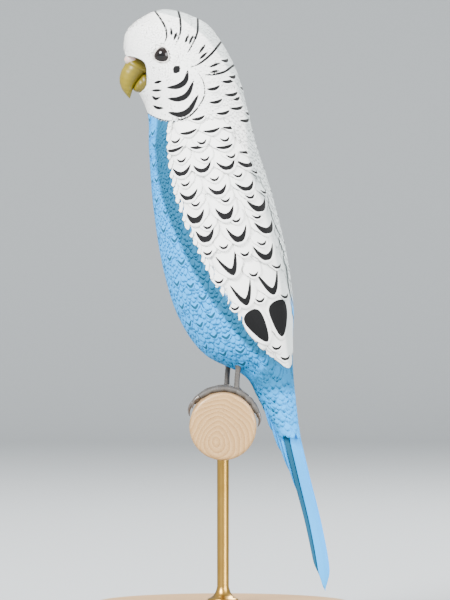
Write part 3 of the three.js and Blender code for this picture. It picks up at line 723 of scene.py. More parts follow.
def mark_cover(tree):
    """How much of a large feather is under its own mark: a bar whose ends bend to the root.
    Mark holds the place across in half widths, the height over the bar and the half thickness;
    Bend holds how far the ends reach back, how sharply, and how much fuller they are."""
    mark = add(tree, attribute, {"attribute_name": "Mark"}, {}, "Vector")
    bend = add(tree, attribute, {"attribute_name": "Bend"}, {}, "Vector")
    ink = add(tree, attribute, {"attribute_name": "Ink"}, {}, "Color")
    across, over, thick = add(tree, split, {}, {"Vector": mark}, None)
    back, sharpness, fuller = add(tree, split, {}, {"Vector": bend}, None)
    across = add(tree, maths, {"operation": "ABSOLUTE"}, {0: across})
    bent = add(tree, maths, {"operation": "POWER"}, {0: across, 1: sharpness})
    over = add(tree, maths, {"operation": "MULTIPLY_ADD"}, {0: bent, 1: back, 2: over})
    over = add(tree, maths, {"operation": "ABSOLUTE"}, {0: over})
    square = add(tree, maths, {"operation": "MULTIPLY"}, {0: across, 1: across})
    half = add(tree, maths, {"operation": "SUBTRACT", "use_clamp": True}, {0: 1.0, 1: square})
    half = add(tree, maths, {"operation": "SQRT"}, {0: half})
    fuller = add(tree, maths, {"operation": "MULTIPLY_ADD"}, {0: across, 1: fuller, 2: 1.0})
    half = add(tree, maths, {"operation": "MULTIPLY"}, {0: half, 1: fuller})
    half = add(tree, maths, {"operation": "MULTIPLY"}, {0: half, 1: thick})
    outside = add(tree, maths, {"operation": "SUBTRACT"}, {0: over, 1: half})
    cover = add(tree, ramp, soft_ramp,
                {"Value": outside, "From Min": -0.08, "From Max": 0.02, "To Min": 1, "To Max": 0})
    return cover, ink


coat_keratin = keratin_vane("coat_keratin", marked=False)
vane_keratin = keratin_vane("vane_keratin", marked=True)


# Skin and small feathers of the body. A small feather is nearly flat: its sides fall by a share of
# its half width, and it rises to its full height near its root. Then come how deep its tip stays,
# as a share of the coat's depth, and how much tips, shades, turns and lengths vary
coat_crown = 0.025
coat_arch = 0.22
tip_depth_share = 0.1
tip_scatter = 0.003
shade_swing = 0.012
blue_swing = 0.006
turn_scatter = 0.09
length_range = (0.92, 1.1)


def skin():
    piece, points, s, angle = closed_shell("skin", body, 0, 12, 150, 120,
                                           lambda s, angle: -coat_depth(s, angle))
    keep(piece, "Plumage", plumage(points))
    keep(piece, "InkEdge", ink_edge(points))
    keep(piece, "Vane", np.zeros((len(points), 3)))
    keep_map(piece, np.stack([np.mod(angle / (2 * math.pi), 1), s / 12], -1))
    return finish_piece(piece, coat_keratin, "white_plumage", "head", "neck", "torso", "rump")


# Lengths of the small feathers at distances from the bill, and the size of one's patch on the map
length_stations = [5, 10, 18, 35, 60, 100]
coat_lengths = [1.0, 1.4, 2.0, 2.9, 4.2, 5]
bake_patch = 0.003


def coat_sites(first, last, count, spacing):
    """Ribs, angles, places and lengths of the small feathers between two ribs."""
    s = rng.uniform(first, last, count * 3)
    angle = rng.uniform(-math.pi, math.pi, count * 3)
    along, around, _ = body.slopes(s, angle)
    area = np.linalg.norm(np.cross(along, around), axis=-1)
    chosen = rng.uniform(0, np.quantile(area, 0.98), count * 3) < area
    s, angle = s[chosen][:count], angle[chosen][:count]
    points = body.on(s, angle)
    from_bill = np.linalg.norm(points - bill_base, axis=-1)
    length = np.interp(from_bill, length_stations, coat_lengths)
    kept = scatter(points, length * spacing)
    return s[kept], angle[kept], points[kept], length[kept]


def coat_vanes(name, vane, roots, tips, length, span):
    """One piece of small feathers, each with its own shade of the plumage's colour."""
    count, size = len(roots), vane.p.size
    s, angle = from_chart(roots)
    tip_s, tip_angle = from_chart(tips)
    widths = length * np.interp(length, [1.5, 6], [0.66, 0.72])
    tip_depth = np.maximum(coat_depth(tip_s, tip_angle) * tip_depth_share,
                           under_wing(tip_s, tip_angle) * tip_depth_in_wing)
    highs = -tip_depth + rng.normal(0, tip_scatter, count) * length
    lows = -coat_depth(s, angle) - 0.1
    coat, across, along = lay_vanes(vane, roots, tips, widths, lows, highs, coat_crown, coat_arch)
    piece = piece_from(name, coat, vane.spread(count), flat_last=True)
    colour = plumage(coat)
    is_blue = smooth(colour[:, 2] - colour[:, 0], 0.1, 0.3)
    swing = np.repeat(rng.uniform(-1, 1, count), size) * (shade_swing + blue_swing * is_blue)
    keep(piece, "Plumage", np.clip(colour * (1 + swing)[:, None], 0, 1))
    keep(piece, "InkEdge", ink_edge(coat))
    keep(piece, "Vane", np.stack([across, along, np.repeat(length / 6, size)], -1))
    u = np.mod(angle / (2 * math.pi), 1)[:, None] + bake_patch * vane.p / 2
    v = ((s - span[0]) / (span[1] - span[0]))[:, None] + bake_patch * (vane.q - 0.5)
    keep_map(piece, np.stack([u, v], -1).reshape(-1, 2))
    return finish_piece(piece, coat_keratin, "white_plumage")


def coat(name, first, last, count, spacing, plain, fine=None):
    """The small feathers between two ribs. Those near a black line have a finer mesh to carry it."""
    s, angle, points, length = coat_sites(first, last, count, spacing)
    normal = body.slopes(s, angle)[2]
    flow = lie(points, normal)
    flow = unit(flow + np.cross(normal, flow) * rng.normal(0, turn_scatter, len(s))[:, None])
    length = length * rng.uniform(*length_range, len(s))
    roots = to_chart(s, angle)
    tips = moved(roots, chart_shift(roots, flow * length[:, None]))
    tip_s = from_chart(tips)[0]
    clear = clear_of_face(points, chart_point(tips)) & (under_wing(s, angle) < 0.8) & (tip_s < 12.0)
    middle = chart_point((roots + tips) / 2)
    lined = clear & (ink_edge(middle) < length * 0.6 + 0.4) & (fine is not None)
    groups = [(name, plain, clear & ~lined), (f"{name}_lined", fine, lined)]
    for label, vane, chosen in groups:
        if chosen.any():
            coat_vanes(label, vane, roots[chosen], tips[chosen], length[chosen], (first, last))


skin()
small_vane = Vane(4, 5, 0.24)
lined_vane = Vane(8, 9, 0.24)
coat("coat_head", 0, 2.4, 34000, 0.33, small_vane, lined_vane)
coat("coat_nape", 2.4, 3.5, 20000, 0.31, small_vane, lined_vane)
coat("coat_neck", 3.5, 5, 20000, 0.31, small_vane, lined_vane)
coat("coat_breast", 5, 8, 26000, 0.28, small_vane)
coat("coat_belly", 8, 11.4, 24000, 0.28, small_vane)


# Marks of the large feathers: half width, reach of the ends back to the root, half thickness,
# sharpness of the bend, and the feather's length and its margin beyond the mark
mark_kinds = {
    "plain": (0.1, 0, 0.01, 2, 10, 1),
    "dash": (2.3, 0.6, 0.62, 2, 6.5, 0.8),
    "bar": (2.9, 0.7, 0.62, 2, 8.5, 1),
    "curl": (1.6, 1.1, 0.42, 2.2, 6.5, 0.8),
    "crescent": (3.1, 2.5, 0.72, 2.3, 10, 1.2),
    "broad crescent": (3.15, 3.1, 1.02, 2.4, 10.5, 1.3),
    "bow": (3.5, 4.2, 1.05, 2.2, 12, 1.3),
    "vee": (3.6, 6.6, 1.25, 1.6, 13, 1.3),
    "leaf": (2.6, 0, 6.2, 2, 17, 1.5),
    "breast": (1.7, 1.3, 0.5, 1.4, 5.4, 0.6),
}

# Places of the marks of the bird's left side, x and z, as they show in side view
wing_marks = {
    "bar": [(-11.4, 164.1), (-3.6, 164.7), (3, 166), (-16, 158.4), (-8, 159.3), (0.7, 159.3), (8.7, 157.9)],
    "crescent": [(-13.7, 151.5), (-6.8, 152.5), (1.3, 153.4), (8.1, 154.4), (-11.4, 143.5), (-1.6, 145.2),
                 (7.7, 146.6)],
    "broad crescent": [(-9.2, 136.4), (0.8, 137.7), (11.9, 140.4), (-5.9, 130.2), (14.4, 133.2)],
    "bow": [(4.9, 130.8), (14.1, 124.9)],
    "vee": [(2, 121), (6.7, 111.2), (16, 114.8)],
    "leaf": [(11.7, 99.9), (19, 102.6)],
    "curl": [(7.9, 161.8), (0.8, 161.8), (-6.9, 160.8), (-15.6, 161.3), (2.8, 156.3), (-5.9, 155.3),
             (-13.7, 154.9), (11.1, 151.4), (5.1, 150), (-2.7, 148.7), (-12.4, 147), (13.9, 144.8),
             (9.1, 143), (0.9, 141.7), (-9, 140.3), (11.4, 136.4), (4.4, 135.1), (-5, 132.9),
             (13, 127.6), (0.3, 126.3), (-5, 124.3), (7.3, 124), (10.2, 117.3), (18, 120),
             (-1.3, 115), (12.3, 108.8), (20.7, 110.2), (4, 106.2), (17.7, 93.2), (20.7, 89.7)],
}
mantle_marks = {
    "dash": [(2, 181.3), (-3, 178.7), (3.1, 176.9), (-2.2, 174.3), (4.9, 172.4), (0.2, 170.6), (-8.1, 168.7),
             (7.5, 168.4)],
}

# Degrees by which single marks lean back
mark_lean = {(11.7, 99.9): 27, (19, 102.6): 6, (2, 121): 12, (6.7, 111.2): 8, (16, 114.8): 6}


class MarkedFeathers:
    """Large feathers gathered for one piece, each with its mark."""

    def __init__(self, vane):
        self.vane = vane
        self.rows = []

    def place(self, kind, s, angle, low, high, lean=0, length=None, width=None, spread=1):
        """Adds a feather whose mark is centred at a rib and angle of the body. A positive lean
        turns its tip to the back, and spread widens the mark."""
        half, back, thick, bend, reach, margin = mark_kinds[kind]
        half = half * spread
        beyond = back / 2 + thick + margin
        self.rows.append((*to_chart(s, angle), math.radians(lean), length or reach, beyond,
                          width or 2 * half + 3.6, low, high, half, back, thick, bend, margin + thick))

    def piece(self, name, side, slot, colour, ink, in_wing, *nodes):
        """The joined piece of one side of the bird."""
        vane, count, size = self.vane, len(self.rows), self.vane.p.size
        columns = np.array(self.rows, float).T
        sites, (lean, length, beyond, widths, lows, highs), mark = columns[:2].T, columns[2:8], columns[8:]
        tips = walk(sites, beyond, lean)
        roots = walk(sites, beyond - length, lean)
        share = ((length - beyond) / length)[:, None]
        bows = (sites - roots - (tips - roots) * share) / (4 * share * (1 - share))
        points, across, along = lay_vanes(vane, roots, tips, widths, lows, highs, 0.04, 0.6, bows, in_wing)
        half, back, thick, bend, margin = (np.repeat(value, size) for value in mark)
        over = along - (np.repeat(along.reshape(count, size).max(1), size) - margin)
        leaf = np.where(thick > 3, 1 + 0.085 * over, 1)
        colours = colour(points)
        if side == "right":
            points = points * [1, -1, 1]
        faces = vane.spread(count)
        if side == "right":
            faces = [face[:, ::-1] for face in faces]
        made = piece_from(name, points, faces, flat_last=True)
        keep(made, "Plumage", colours)
        keep(made, "Ink", np.broadcast_to(ink, points.shape))
        keep(made, "Mark", np.stack([across * leaf / half, np.where(half < 0.2, 9, over), thick], -1))
        keep(made, "Bend", np.stack([back, bend, np.where(back > 0.8, 0.7, 0)], -1))
        keep(made, "Vane", np.stack([across, along, np.ones(len(points))], -1))
        keep_map(made, self.cells(count))
        return finish_piece(made, vane_keratin, slot, *nodes)

    def cells(self, count):
        """A flat map with one cell for each feather."""
        columns = math.ceil(math.sqrt(count))
        rows = math.ceil(count / columns)
        index = np.arange(count)[:, None]
        u = (index % columns + 0.5 + 0.46 * self.vane.p) / columns
        v = (index // columns + 0.04 + 0.92 * self.vane.q) / rows
        return np.stack([u, v], -1).reshape(-1, 2)


# Wings
def wing_line():
    """Distances down the middle of the wing, and the ribs reached there."""
    s = np.linspace(wing_shoulder, wing_tip, 200)
    points = body.on(s, wing_angle(s, 0.5))
    steps = np.linalg.norm(np.diff(points, axis=0), axis=1)
    return np.concatenate([[0], np.cumsum(steps)]), s


wing_lengths, wing_ribs = wing_line()


def seen_sites(marks):
    """Kind, rib, angle and place of every mark, the highest on the bird first."""
    made = []
    for kind, places in marks.items():
        for place in places:
            s, angle = body.seen_at(*place)
            made.append((kind, float(s), float(angle), place))
    return sorted(made, key=lambda site: -site[3][1])


def facing(s, angle):
    """How much wider a mark must be here to show its full width in side view."""
    return 1 / max(abs(body.slopes(s, angle)[2][1]), 0.62)


# Coverts: spacing and width of the plain rows, then count, lean in degrees, length and width of the
# small feathers along the front edge, how far above the wing's tip the rows stop, and the height
# under which a mark lies on the flight feathers
covert_pitch = 4.2
covert_width = 8.5
edge_feathers = 34
edge_lean = 34
edge_length = 5
edge_width = 3.4
flights_reach = 14
flights_top = 95


def wing_coverts(side):
    """Coverts of one wing: plain rows below, small ones along its front edge, and the marked ones.
    The marked ones whose places lie on the flight feathers stand higher."""
    gathered = MarkedFeathers(Vane(10, 12, 0.22, thickness=0.1))
    for row, distance in enumerate(np.arange(4, wing_lengths[-1] - flights_reach, covert_pitch)):
        s = np.interp(distance, wing_lengths, wing_ribs)
        wide = np.linalg.norm(body.on(s, wing_angle(s, 0)) - body.on(s, wing_angle(s, 1)))
        columns = max(round(wide / 6), 2)
        for column in range(columns):
            share = (column + 0.5 * (row % 2)) / (columns - 0.5)
            gathered.place("plain", s, wing_angle(s, share), -1.6, -0.62, width=covert_width)
    for share in np.linspace(0.03, 0.99, edge_feathers):
        s, angle = (np.interp(share, fine, front_line[:, k]) for k in range(2))
        inside = wing_angle(max(s, wing_shoulder + 0.1), 0.04)
        gathered.place("plain", max(s, wing_shoulder + 0.1), inside, -0.9, 0.08 - 0.5 * share ** 3,
                       edge_lean * share, edge_length, edge_width)
    for kind, s, angle, place in seen_sites(wing_marks):
        over_flights = kind == "leaf" or place[1] < flights_top
        lift = 0.5 if over_flights else 0.12
        gathered.place(kind, s, angle, -1.3 + lift, lift + 0.03 * (len(gathered.rows) % 3),
                       mark_lean.get(place, 0), spread=facing(s, angle))
    return gathered.piece(f"wing_coverts_{side}", side, "white_plumage", shaded, black, True,
                          f"wing_{side}")


# Flight feathers of one wing: counts, lengths, widths and most lean in degrees, then the places
# across the wing and lengths of the three at its tip
primaries = 9
primary_length = 34
primary_width = 9
primary_lean = 16
secondaries = 8
secondary_length = 26
secondary_width = 7.6
secondary_lean = 26
tip_feathers = ((0.25, 13), (0.62, 12), (0.45, 10))
tip_lean = 20
tip_width = 9


def wing_flights(side):
    """Primaries and secondaries of one wing, stepped down its front edge, and its rounded tip."""
    gathered = MarkedFeathers(Vane(8, 30, 0.07, 0.3, 0.9, 0.7, thickness=0.12))
    for i in range(primaries):
        share = i / (primaries - 1)
        s = wing_tip - 0.4 - 1.2 * share ** 1.2
        gathered.place("plain", s, wing_angle(s, 0.52 - 0.44 * share), -1.35, -0.05 - 0.05 * i,
                       primary_lean * share, primary_length - 8 * share, primary_width - 3 * share)
    for i in range(secondaries):
        share = i / (secondaries - 1)
        s = 9.3 + 0.45 * math.sin(math.pi * (0.1 + 0.75 * share)) - 0.3 * (1 - share)
        gathered.place("plain", s, wing_angle(s, 0.08 + 0.88 * share), -1.2, 0.03 * i,
                       secondary_lean * (1 - share), secondary_length, secondary_width)
    for share, length in tip_feathers:
        s = wing_tip - 0.3 - 0.4 * abs(share - 0.45)
        gathered.place("plain", s, wing_angle(s, share), -0.8, 0.1, tip_lean * (1 - share), length,
                       tip_width)
    return gathered.piece(f"wing_flights_{side}", side, "white_plumage", shaded, black, True)


# The wing's closed body: depth of its upper side, and of its lower side at the edges and middle
core_top = 0.95
core_bottom = 1.5
core_swell = 0.5


def wing_core(side):
    """The closed body of the wing under its feathers."""
    rows, across = 40, 16
    q, p = np.meshgrid(np.linspace(0, 1, rows), np.linspace(0.01, 0.99, across), indexing="ij")
    s = wing_shoulder + 0.1 + q * (wing_tip - 0.12 - wing_shoulder)
    upper = body.at(s, wing_angle(s, p), np.full(s.shape, -core_top))
    lower = body.at(s, wing_angle(s, p), -core_bottom - core_swell * (1 - (2 * p - 1) ** 4))
    points = np.vstack([upper.reshape(-1, 3), lower.reshape(-1, 3)])
    colours = shaded(points)
    faces = slab_faces(rows, across)
    if side == "left":
        faces = [face[:, ::-1] for face in faces]
    else:
        points = points * [1, -1, 1]
    piece = piece_from(f"wing_core_{side}", points, faces, flat_last=True)
    keep(piece, "Plumage", colours)
    keep(piece, "InkEdge", np.full(len(points), 3.0))
    keep(piece, "Vane", np.zeros((len(points), 3)))
    half = p.size
    u = np.tile(p.ravel(), 2) * 0.48 + np.repeat([0.01, 0.51], half)
    keep_map(piece, np.stack([u, np.tile(q.ravel(), 2)], -1))
    return finish_piece(piece, coat_keratin, "white_plumage", f"wing_{side}")


def body_marks(side):
    """Dashes of the mantle on one side."""
    gathered = MarkedFeathers(Vane(8, 10, 0.24, thickness=0.1))
    for kind, s, angle, _ in seen_sites(mantle_marks):
        gathered.place(kind, s, angle, -0.6, 0.16, spread=facing(s, angle))
    for s, turn in [(3.1, 28), (3.7, 34), (2.6, 30), (4.1, 12), (3.4, 8)]:
        gathered.place("dash", s, math.radians(turn), -0.6, 0.16)
    return gathered.piece(f"mantle_{side}", side, "white_plumage", plumage, black, False)


def back_marks():
    """Dashes down the middle of the back, between the wings."""
    gathered = MarkedFeathers(Vane(8, 10, 0.24, thickness=0.1))
    for s in np.arange(4.7, 7.6, 0.42):
        gathered.place("dash", s, math.radians(2), -0.6, 0.14)
    return gathered.piece("mantle_middle", "left", "white_plumage", plumage, black, False)


breast_marks = [
    (-23.3, 164.3), (-22.7, 160.3), (-23, 153.7), (-22, 148.7), (-22, 142), (-19, 138), (-19.7, 132),
    (-16, 128.7), (-17.7, 122.7), (-13.7, 121.3), (-15.3, 114.3), (-10.7, 113.7), (-6.7, 109.7),
    (-13.7, 106.7), (-9.3, 106.7), (-4, 103.7), (-11.3, 101), (-7.7, 100.7), (-3, 97), (1, 96.7),
    (-6, 93.3), (0, 91), (5.7, 92), (6.3, 87.7),
]


def breast_feathers(side):
    """Feathers of the breast and belly with their darker blue marks."""
    gathered = MarkedFeathers(Vane(6, 8, 0.24, thickness=0.08))
    sites = [body.seen_at(*place) for place in breast_marks]
    sites += [(np.array(s), np.array(math.pi * 0.93)) for s in np.arange(4.2, 9.2, 0.46)]
    for s, angle in sites:
        gathered.place("breast", s, angle, -0.45, 0.14, width=5)
    return gathered.piece(f"breast_{side}", side, "blue_plumage", plumage, deep_blue * 0.8, False)


for side in ("left", "right"):
    wing_core(side)
    wing_coverts(side)
    wing_flights(side)
    body_marks(side)
    breast_feathers(side)
back_marks()


# Tail
tail_top = [(24, 79), (25.4, 66), (28.8, 51), (32.8, 35), (35.6, 20), (35.7, 11.8)]
tail_slope = math.radians(58)
tail_layer = 0.62

# Pairs of tail feathers from the middle out: how far down the tail each reaches, how far it stands
# aside at root and tip, its width at both, and how dark its blue is
tail_pairs = [
    (1, 0, 0, 4.1, 4.7, 0),
    (0.945, 1.6, 1.2, 4.6, 4.4, 1),
    (0.56, 3.4, 1.7, 4.4, 4.2, 0),
    (0.43, 4.9, 2.6, 4.2, 4, 0.05),
    (0.31, 6.3, 4, 4, 3.8, 0),
    (0.2, 7.6, 5.6, 3.8, 3.6, 0.05),
]
tail_line = smooth_line([(x, 0, z) for x, z in tail_top], np.linspace(0, 1, 400))
tail_run = np.concatenate([[0], np.cumsum(np.linalg.norm(np.diff(tail_line, axis=0), axis=1))])
tail_length = tail_run[-1]


def top_line(share):
    """Points and directions on the tail's top line, at shares of its length."""
    def at(part):
        return np.stack([np.interp(part * tail_length, tail_run, tail_line[:, k]) for k in range(3)], -1)
    return at(share), unit(at(share + 0.01) - at(share - 0.01))


# Tail vanes: thickness, fall from the shaft to the edges, height and sharpness of the shaft, and
# how late the long and the short ones round off
tail_thickness = 0.16
tail_fall = 0.16
tail_shaft = 0.05
shaft_sharpness = 12
late_rounding = 36
early_rounding = 9


def tail_feather(side, order):
    """One long feather, roofed over the next pair, with its vane bent down from its shaft."""
    tip, root, end, root_width, end_width, dark = tail_pairs[order]
    across, down = 14, int(16 + 60 * tip)
    p, q = np.meshgrid(np.linspace(-1, 1, across + 1), np.linspace(0, 1, down + 1))
    ridge, ahead = top_line((q - 0.05 * p * p * q * q) * tip)
    up = np.stack([-ahead[..., 2], ahead[..., 1], ahead[..., 0]], -1)
    level = np.array([0, -side, 0])
    lower = level * math.cos(tail_slope) - up * math.sin(tail_slope)
    out = level * math.sin(tail_slope) + up * math.cos(tail_slope)
    rounding = late_rounding if order < 2 else early_rounding
    narrowing = np.maximum(1 - q ** rounding, 0.0008) ** 0.5
    width = root_width + (end_width - root_width) * q
    aside = root + (end - root) * q + width * (0.5 + 0.5 * p * narrowing - 0.12 * (1 - narrowing))
    shaft = tail_shaft * np.exp(-(p * shaft_sharpness) ** 2)
    height = -tail_layer * order - 0.08 - tail_fall * p * p + shaft
    layers = [ridge + lower * aside[..., None] + out * (height - drop)[..., None]
              for drop in (0, tail_thickness)]
    points = np.vstack([layer.reshape(-1, 3) for layer in layers])
    faces = slab_faces(down + 1, across + 1)
    name = "left" if side > 0 else "right"
    if side < 0:
        faces = [face[:, ::-1] for face in faces]
    piece = piece_from(f"tail_feather_{name}_{order + 1}", points, faces, flat_last=True)
    # Painted shadow of the wings: darker blue near the tail's root
    wing_shadow_on_tail = smooth(points[:, 2], 76, 81)
    share = np.maximum(dark, 0.85 * wing_shadow_on_tail)
    keep(piece, "Plumage", mix(np.broadcast_to(blue, points.shape), 0.9 * deep_blue, share))
    keep(piece, "InkEdge", np.full(len(points), 3.0))
    run = np.tile((q * tip * tail_length).ravel(), 2)
    across_mm = np.tile((p * narrowing * width / 2).ravel(), 2)
    keep(piece, "Vane", np.stack([across_mm, run, np.full(len(points), 1.4)], -1))
    keep_map(piece, np.stack([np.tile(p.ravel(), 2) * 0.48 + 0.5, np.tile(q.ravel(), 2)], -1))
    return finish_piece(piece, coat_keratin, "blue_plumage", "tail")


def tail_coverts(side):
    """Feathers that cover the root of the tail, above and below."""
    gathered = MarkedFeathers(Vane(6, 10, 0.2, thickness=0.1))
    for row, s in enumerate(np.arange(10.7, 11.99, 0.18)):
        for turn in np.arange(6 + 9 * (row % 2), 181, 18):
            s_here, turn_here = s + rng.uniform(-0.09, 0.09), turn + rng.uniform(-5, 5)
            gathered.place("plain", s_here, math.radians(turn_here), -0.7, 0.04, rng.uniform(-5, 5),
                           width=4.2, length=rng.uniform(8, 10))
    return gathered.piece(f"tail_coverts_{side}", side, "blue_plumage", plumage, black, False)


for side in (1, -1):
    for order in range(len(tail_pairs)):
        tail_feather(side, order)
for side in ("left", "right"):
    tail_coverts(side)


# Finishes of bill, cere, eyes, feet and stand. The scale of a noise or of cells is one over the
# size of its spots
def bill_keratin():
    """Horn of the bill: layered keratin, worn smooth and half glossy, yellow-olive with a darker
    base. Growth layers about 0.5 mm apart run across it."""
    material, tree, shader = start_material("bill_keratin", roughness=0.42, specular_ior_level=0.3,
                                            coat_weight=0.06, coat_roughness=0.25, ior=1.54)
    place = add(tree, place_node, {}, {}, "Object")
    ahead = add(tree, split, {}, {"Vector": place}, "X")
    base = add(tree, ramp, soft_ramp,
               {"Value": ahead, "From Min": -32.2 * MM, "From Max": -25.5 * MM, "To Min": 0, "To Max": 0.55})
    squeezed = add(tree, "ShaderNodeMapping", {}, {"Vector": place, "Scale": (1, 0.35, 2.2)})
    layers = add(tree, noise, {}, {"Vector": squeezed, "Scale": 1 / (0.9 * MM), "Detail": 3})
    spots = add(tree, noise, {}, {"Vector": place, "Scale": 1 / (2.6 * MM), "Detail": 3})
    colour = add(tree, blend, of_colours, {0: spots, 6: linear("665A06"), 7: linear("7C6D0E")}, blended)
    colour = add(tree, blend, of_colours, {0: base, 6: colour, 7: linear("38300D")}, blended)
    bump = add(tree, "ShaderNodeBump", {}, {"Height": layers, "Strength": 0.45, "Distance": 0.12 * MM})
    tree.links.new(colour, shader.inputs["Base Color"])
    tree.links.new(bump, shader.inputs["Normal"])
    return material


def cere_wax():
    """Waxy bare skin of the cere: pale pink-white, soft gloss, with pores about 0.3 mm apart."""
    material, tree, shader = start_material("cere_wax", roughness=0.42, coat_weight=0.15,
                                            subsurface_weight=0.2, subsurface_scale=0.6 * MM)
    place = add(tree, place_node, {}, {}, "Object")
    cloud = add(tree, noise, {}, {"Vector": place, "Scale": 1 / (1.1 * MM), "Detail": 3})
    pores = add(tree, noise, {}, {"Vector": place, "Scale": 1 / (0.3 * MM), "Detail": 3})
    colour = add(tree, blend, of_colours, {0: cloud, 6: linear("B9998F"), 7: linear("DECBC3")}, blended)
    bump = add(tree, "ShaderNodeBump", {}, {"Height": pores, "Strength": 0.5, "Distance": 0.08 * MM})
    tree.links.new(colour, shader.inputs["Base Color"])
    tree.links.new(bump, shader.inputs["Normal"])
    return material


def wet_eye():
    """Wet cornea over a dark brown iris: mirror gloss over near black, with fine rays in the iris."""
    material, tree, shader = start_material("wet_eye", roughness=0.05, coat_weight=0.25,
                                            coat_roughness=0.02, ior=1.34)
    place = add(tree, place_node, {}, {}, "Object")
    mirrored = add(tree, "ShaderNodeVectorMath", {"operation": "ABSOLUTE"}, {0: place})
    looked = [abs(c) * MM for c in eye_centre + eye_out * eye_radius]
    away = add(tree, "ShaderNodeVectorMath", {"operation": "DISTANCE"}, {0: mirrored, 1: looked}, "Value")
    pupil = add(tree, ramp, soft_ramp,
                {"Value": away, "From Min": 1 * MM, "From Max": 1.2 * MM, "To Min": 1, "To Max": 0})
    rays = add(tree, noise, {}, {"Vector": place, "Scale": 1 / (0.35 * MM), "Detail": 3})
    iris = add(tree, blend, of_colours, {0: rays, 6: linear("0C0807"), 7: linear("17100D")}, blended)
    colour = add(tree, blend, of_colours, {0: pupil, 6: iris, 7: linear("060505")}, blended)
    tree.links.new(colour, shader.inputs["Base Color"])
    return material


def lid_skin():
    """Bare rim of the eyelids: pale grey-white skin, matt, with fine creases 0.25 mm apart."""
    material, tree, shader = start_material("lid_skin", roughness=0.55)
    place = add(tree, place_node, {}, {}, "Object")
    cloud = add(tree, noise, {}, {"Vector": place, "Scale": 1 / (0.8 * MM), "Detail": 3})
    creases = add(tree, noise, {}, {"Vector": place, "Scale": 1 / (0.25 * MM), "Detail": 3})
    colour = add(tree, blend, of_colours, {0: cloud, 6: linear("B4AEA8"), 7: linear("E2DDD7")}, blended)
    bump = add(tree, "ShaderNodeBump", {}, {"Height": creases, "Strength": 0.5, "Distance": 0.07 * MM})
    tree.links.new(colour, shader.inputs["Base Color"])
    tree.links.new(bump, shader.inputs["Normal"])
    return material


def scaly_skin():
    """Horny skin of the feet: grey-brown scales with dry matt edges and paler, dusty tops."""
    material, tree, shader = start_material("scaly_skin", roughness=0.56, ior=1.5)
    place = add(tree, place_node, {}, {}, "Object")
    scales = add(tree, "ShaderNodeTexVoronoi", {"feature": "DISTANCE_TO_EDGE"},
                 {"Vector": place, "Scale": 1 / (0.55 * MM)}, "Distance")
    dust = add(tree, noise, {}, {"Vector": place, "Scale": 1 / (1.4 * MM), "Detail": 3})
    tone = add(tree, blend, of_colours, {0: dust, 6: linear("36332F"), 7: linear("4C4843")}, blended)
    groove = add(tree, ramp, soft_ramp,
                 {"Value": scales, "From Min": 0, "From Max": 0.12, "To Min": 0.45, "To Max": 0})
    colour = add(tree, blend, of_colours, {0: groove, 6: tone, 7: linear("2B2623")}, blended)
    bump = add(tree, "ShaderNodeBump", {}, {"Height": scales, "Strength": 0.6, "Distance": 0.12 * MM})
    tree.links.new(colour, shader.inputs["Base Color"])
    tree.links.new(bump, shader.inputs["Normal"])
    return material


def claw_keratin():
    """Horn of the claws: hard keratin, dark grey-brown, half glossy, with lengthwise streaks."""
    material, tree, shader = start_material("claw_keratin", roughness=0.3, coat_weight=0.2, ior=1.54)
    place = add(tree, place_node, {}, {}, "Object")
    drawn = add(tree, "ShaderNodeMapping", {}, {"Vector": place, "Scale": (1, 4, 1)})
    streaks = add(tree, noise, {}, {"Vector": drawn, "Scale": 1 / (0.8 * MM), "Detail": 3})
    colour = add(tree, blend, of_colours, {0: streaks, 6: linear("2E2925"), 7: linear("5E554E")}, blended)
    bump = add(tree, "ShaderNodeBump", {}, {"Height": streaks, "Strength": 0.5, "Distance": 0.05 * MM})
    tree.links.new(colour, shader.inputs["Base Color"])
    tree.links.new(bump, shader.inputs["Normal"])
    return material


# Distance between growth rings, and the wave scale that gives one ring in a unit of length
ring_gap = 1.5
wave_scale = 0.3142


def turned_beech(name, along, heart):
    """Beech turned on a lathe, sanded and oiled: satin, with growth rings 1.5 mm apart and short
    dark rays about 2 mm long on its long-grain faces."""
    material, tree, shader = start_material(name, roughness=0.42, coat_weight=0.12, coat_roughness=0.3)
    place = add(tree, place_node, {}, {}, "Object")
    centre = [-part * MM for part in heart]
    long_grain = [0.12 if axis == along else 1 for axis in "XYZ"]
    fine_grain = [0.5 if axis == along else 3 for axis in "XYZ"]
    centred = add(tree, "ShaderNodeMapping", {}, {"Vector": place, "Location": centre})
    drawn = add(tree, "ShaderNodeMapping", {}, {"Vector": centred, "Scale": long_grain})
    fine = add(tree, "ShaderNodeMapping", {}, {"Vector": centred, "Scale": fine_grain})
    wander = add(tree, noise, {}, {"Vector": drawn, "Scale": 1 / (14 * MM), "Detail": 2}, "Color")
    bent = add(tree, blend, {"data_type": "VECTOR"}, {0: 0.006, 4: drawn, 5: wander}, 1)
    rings = add(tree, "ShaderNodeTexWave",
                {"wave_type": "RINGS", "rings_direction": along, "wave_profile": "SAW"},
                {"Vector": bent, "Scale": wave_scale / (ring_gap * MM), "Distortion": 0.6, "Detail": 2,
                 "Detail Scale": 1.5}, "Fac")
    rays = add(tree, noise, {}, {"Vector": fine, "Scale": 1 / (1 * MM), "Detail": 1})
    flecks = add(tree, ramp, soft_ramp,
                 {"Value": rays, "From Min": 0.34, "From Max": 0.38, "To Min": 0.35, "To Max": 0})
    colour = add(tree, blend, of_colours, {0: rings, 6: linear("AE8A5C"), 7: linear("94703F")}, blended)
    colour = add(tree, blend, of_colours, {0: flecks, 6: colour, 7: linear("5F4125")}, blended)
    height = add(tree, maths, {"operation": "ADD"}, {0: rings, 1: flecks})
    bump = add(tree, "ShaderNodeBump", {}, {"Height": height, "Strength": 0.35, "Distance": 0.05 * MM})
    tree.links.new(colour, shader.inputs["Base Color"])
    tree.links.new(bump, shader.inputs["Normal"])
    return material


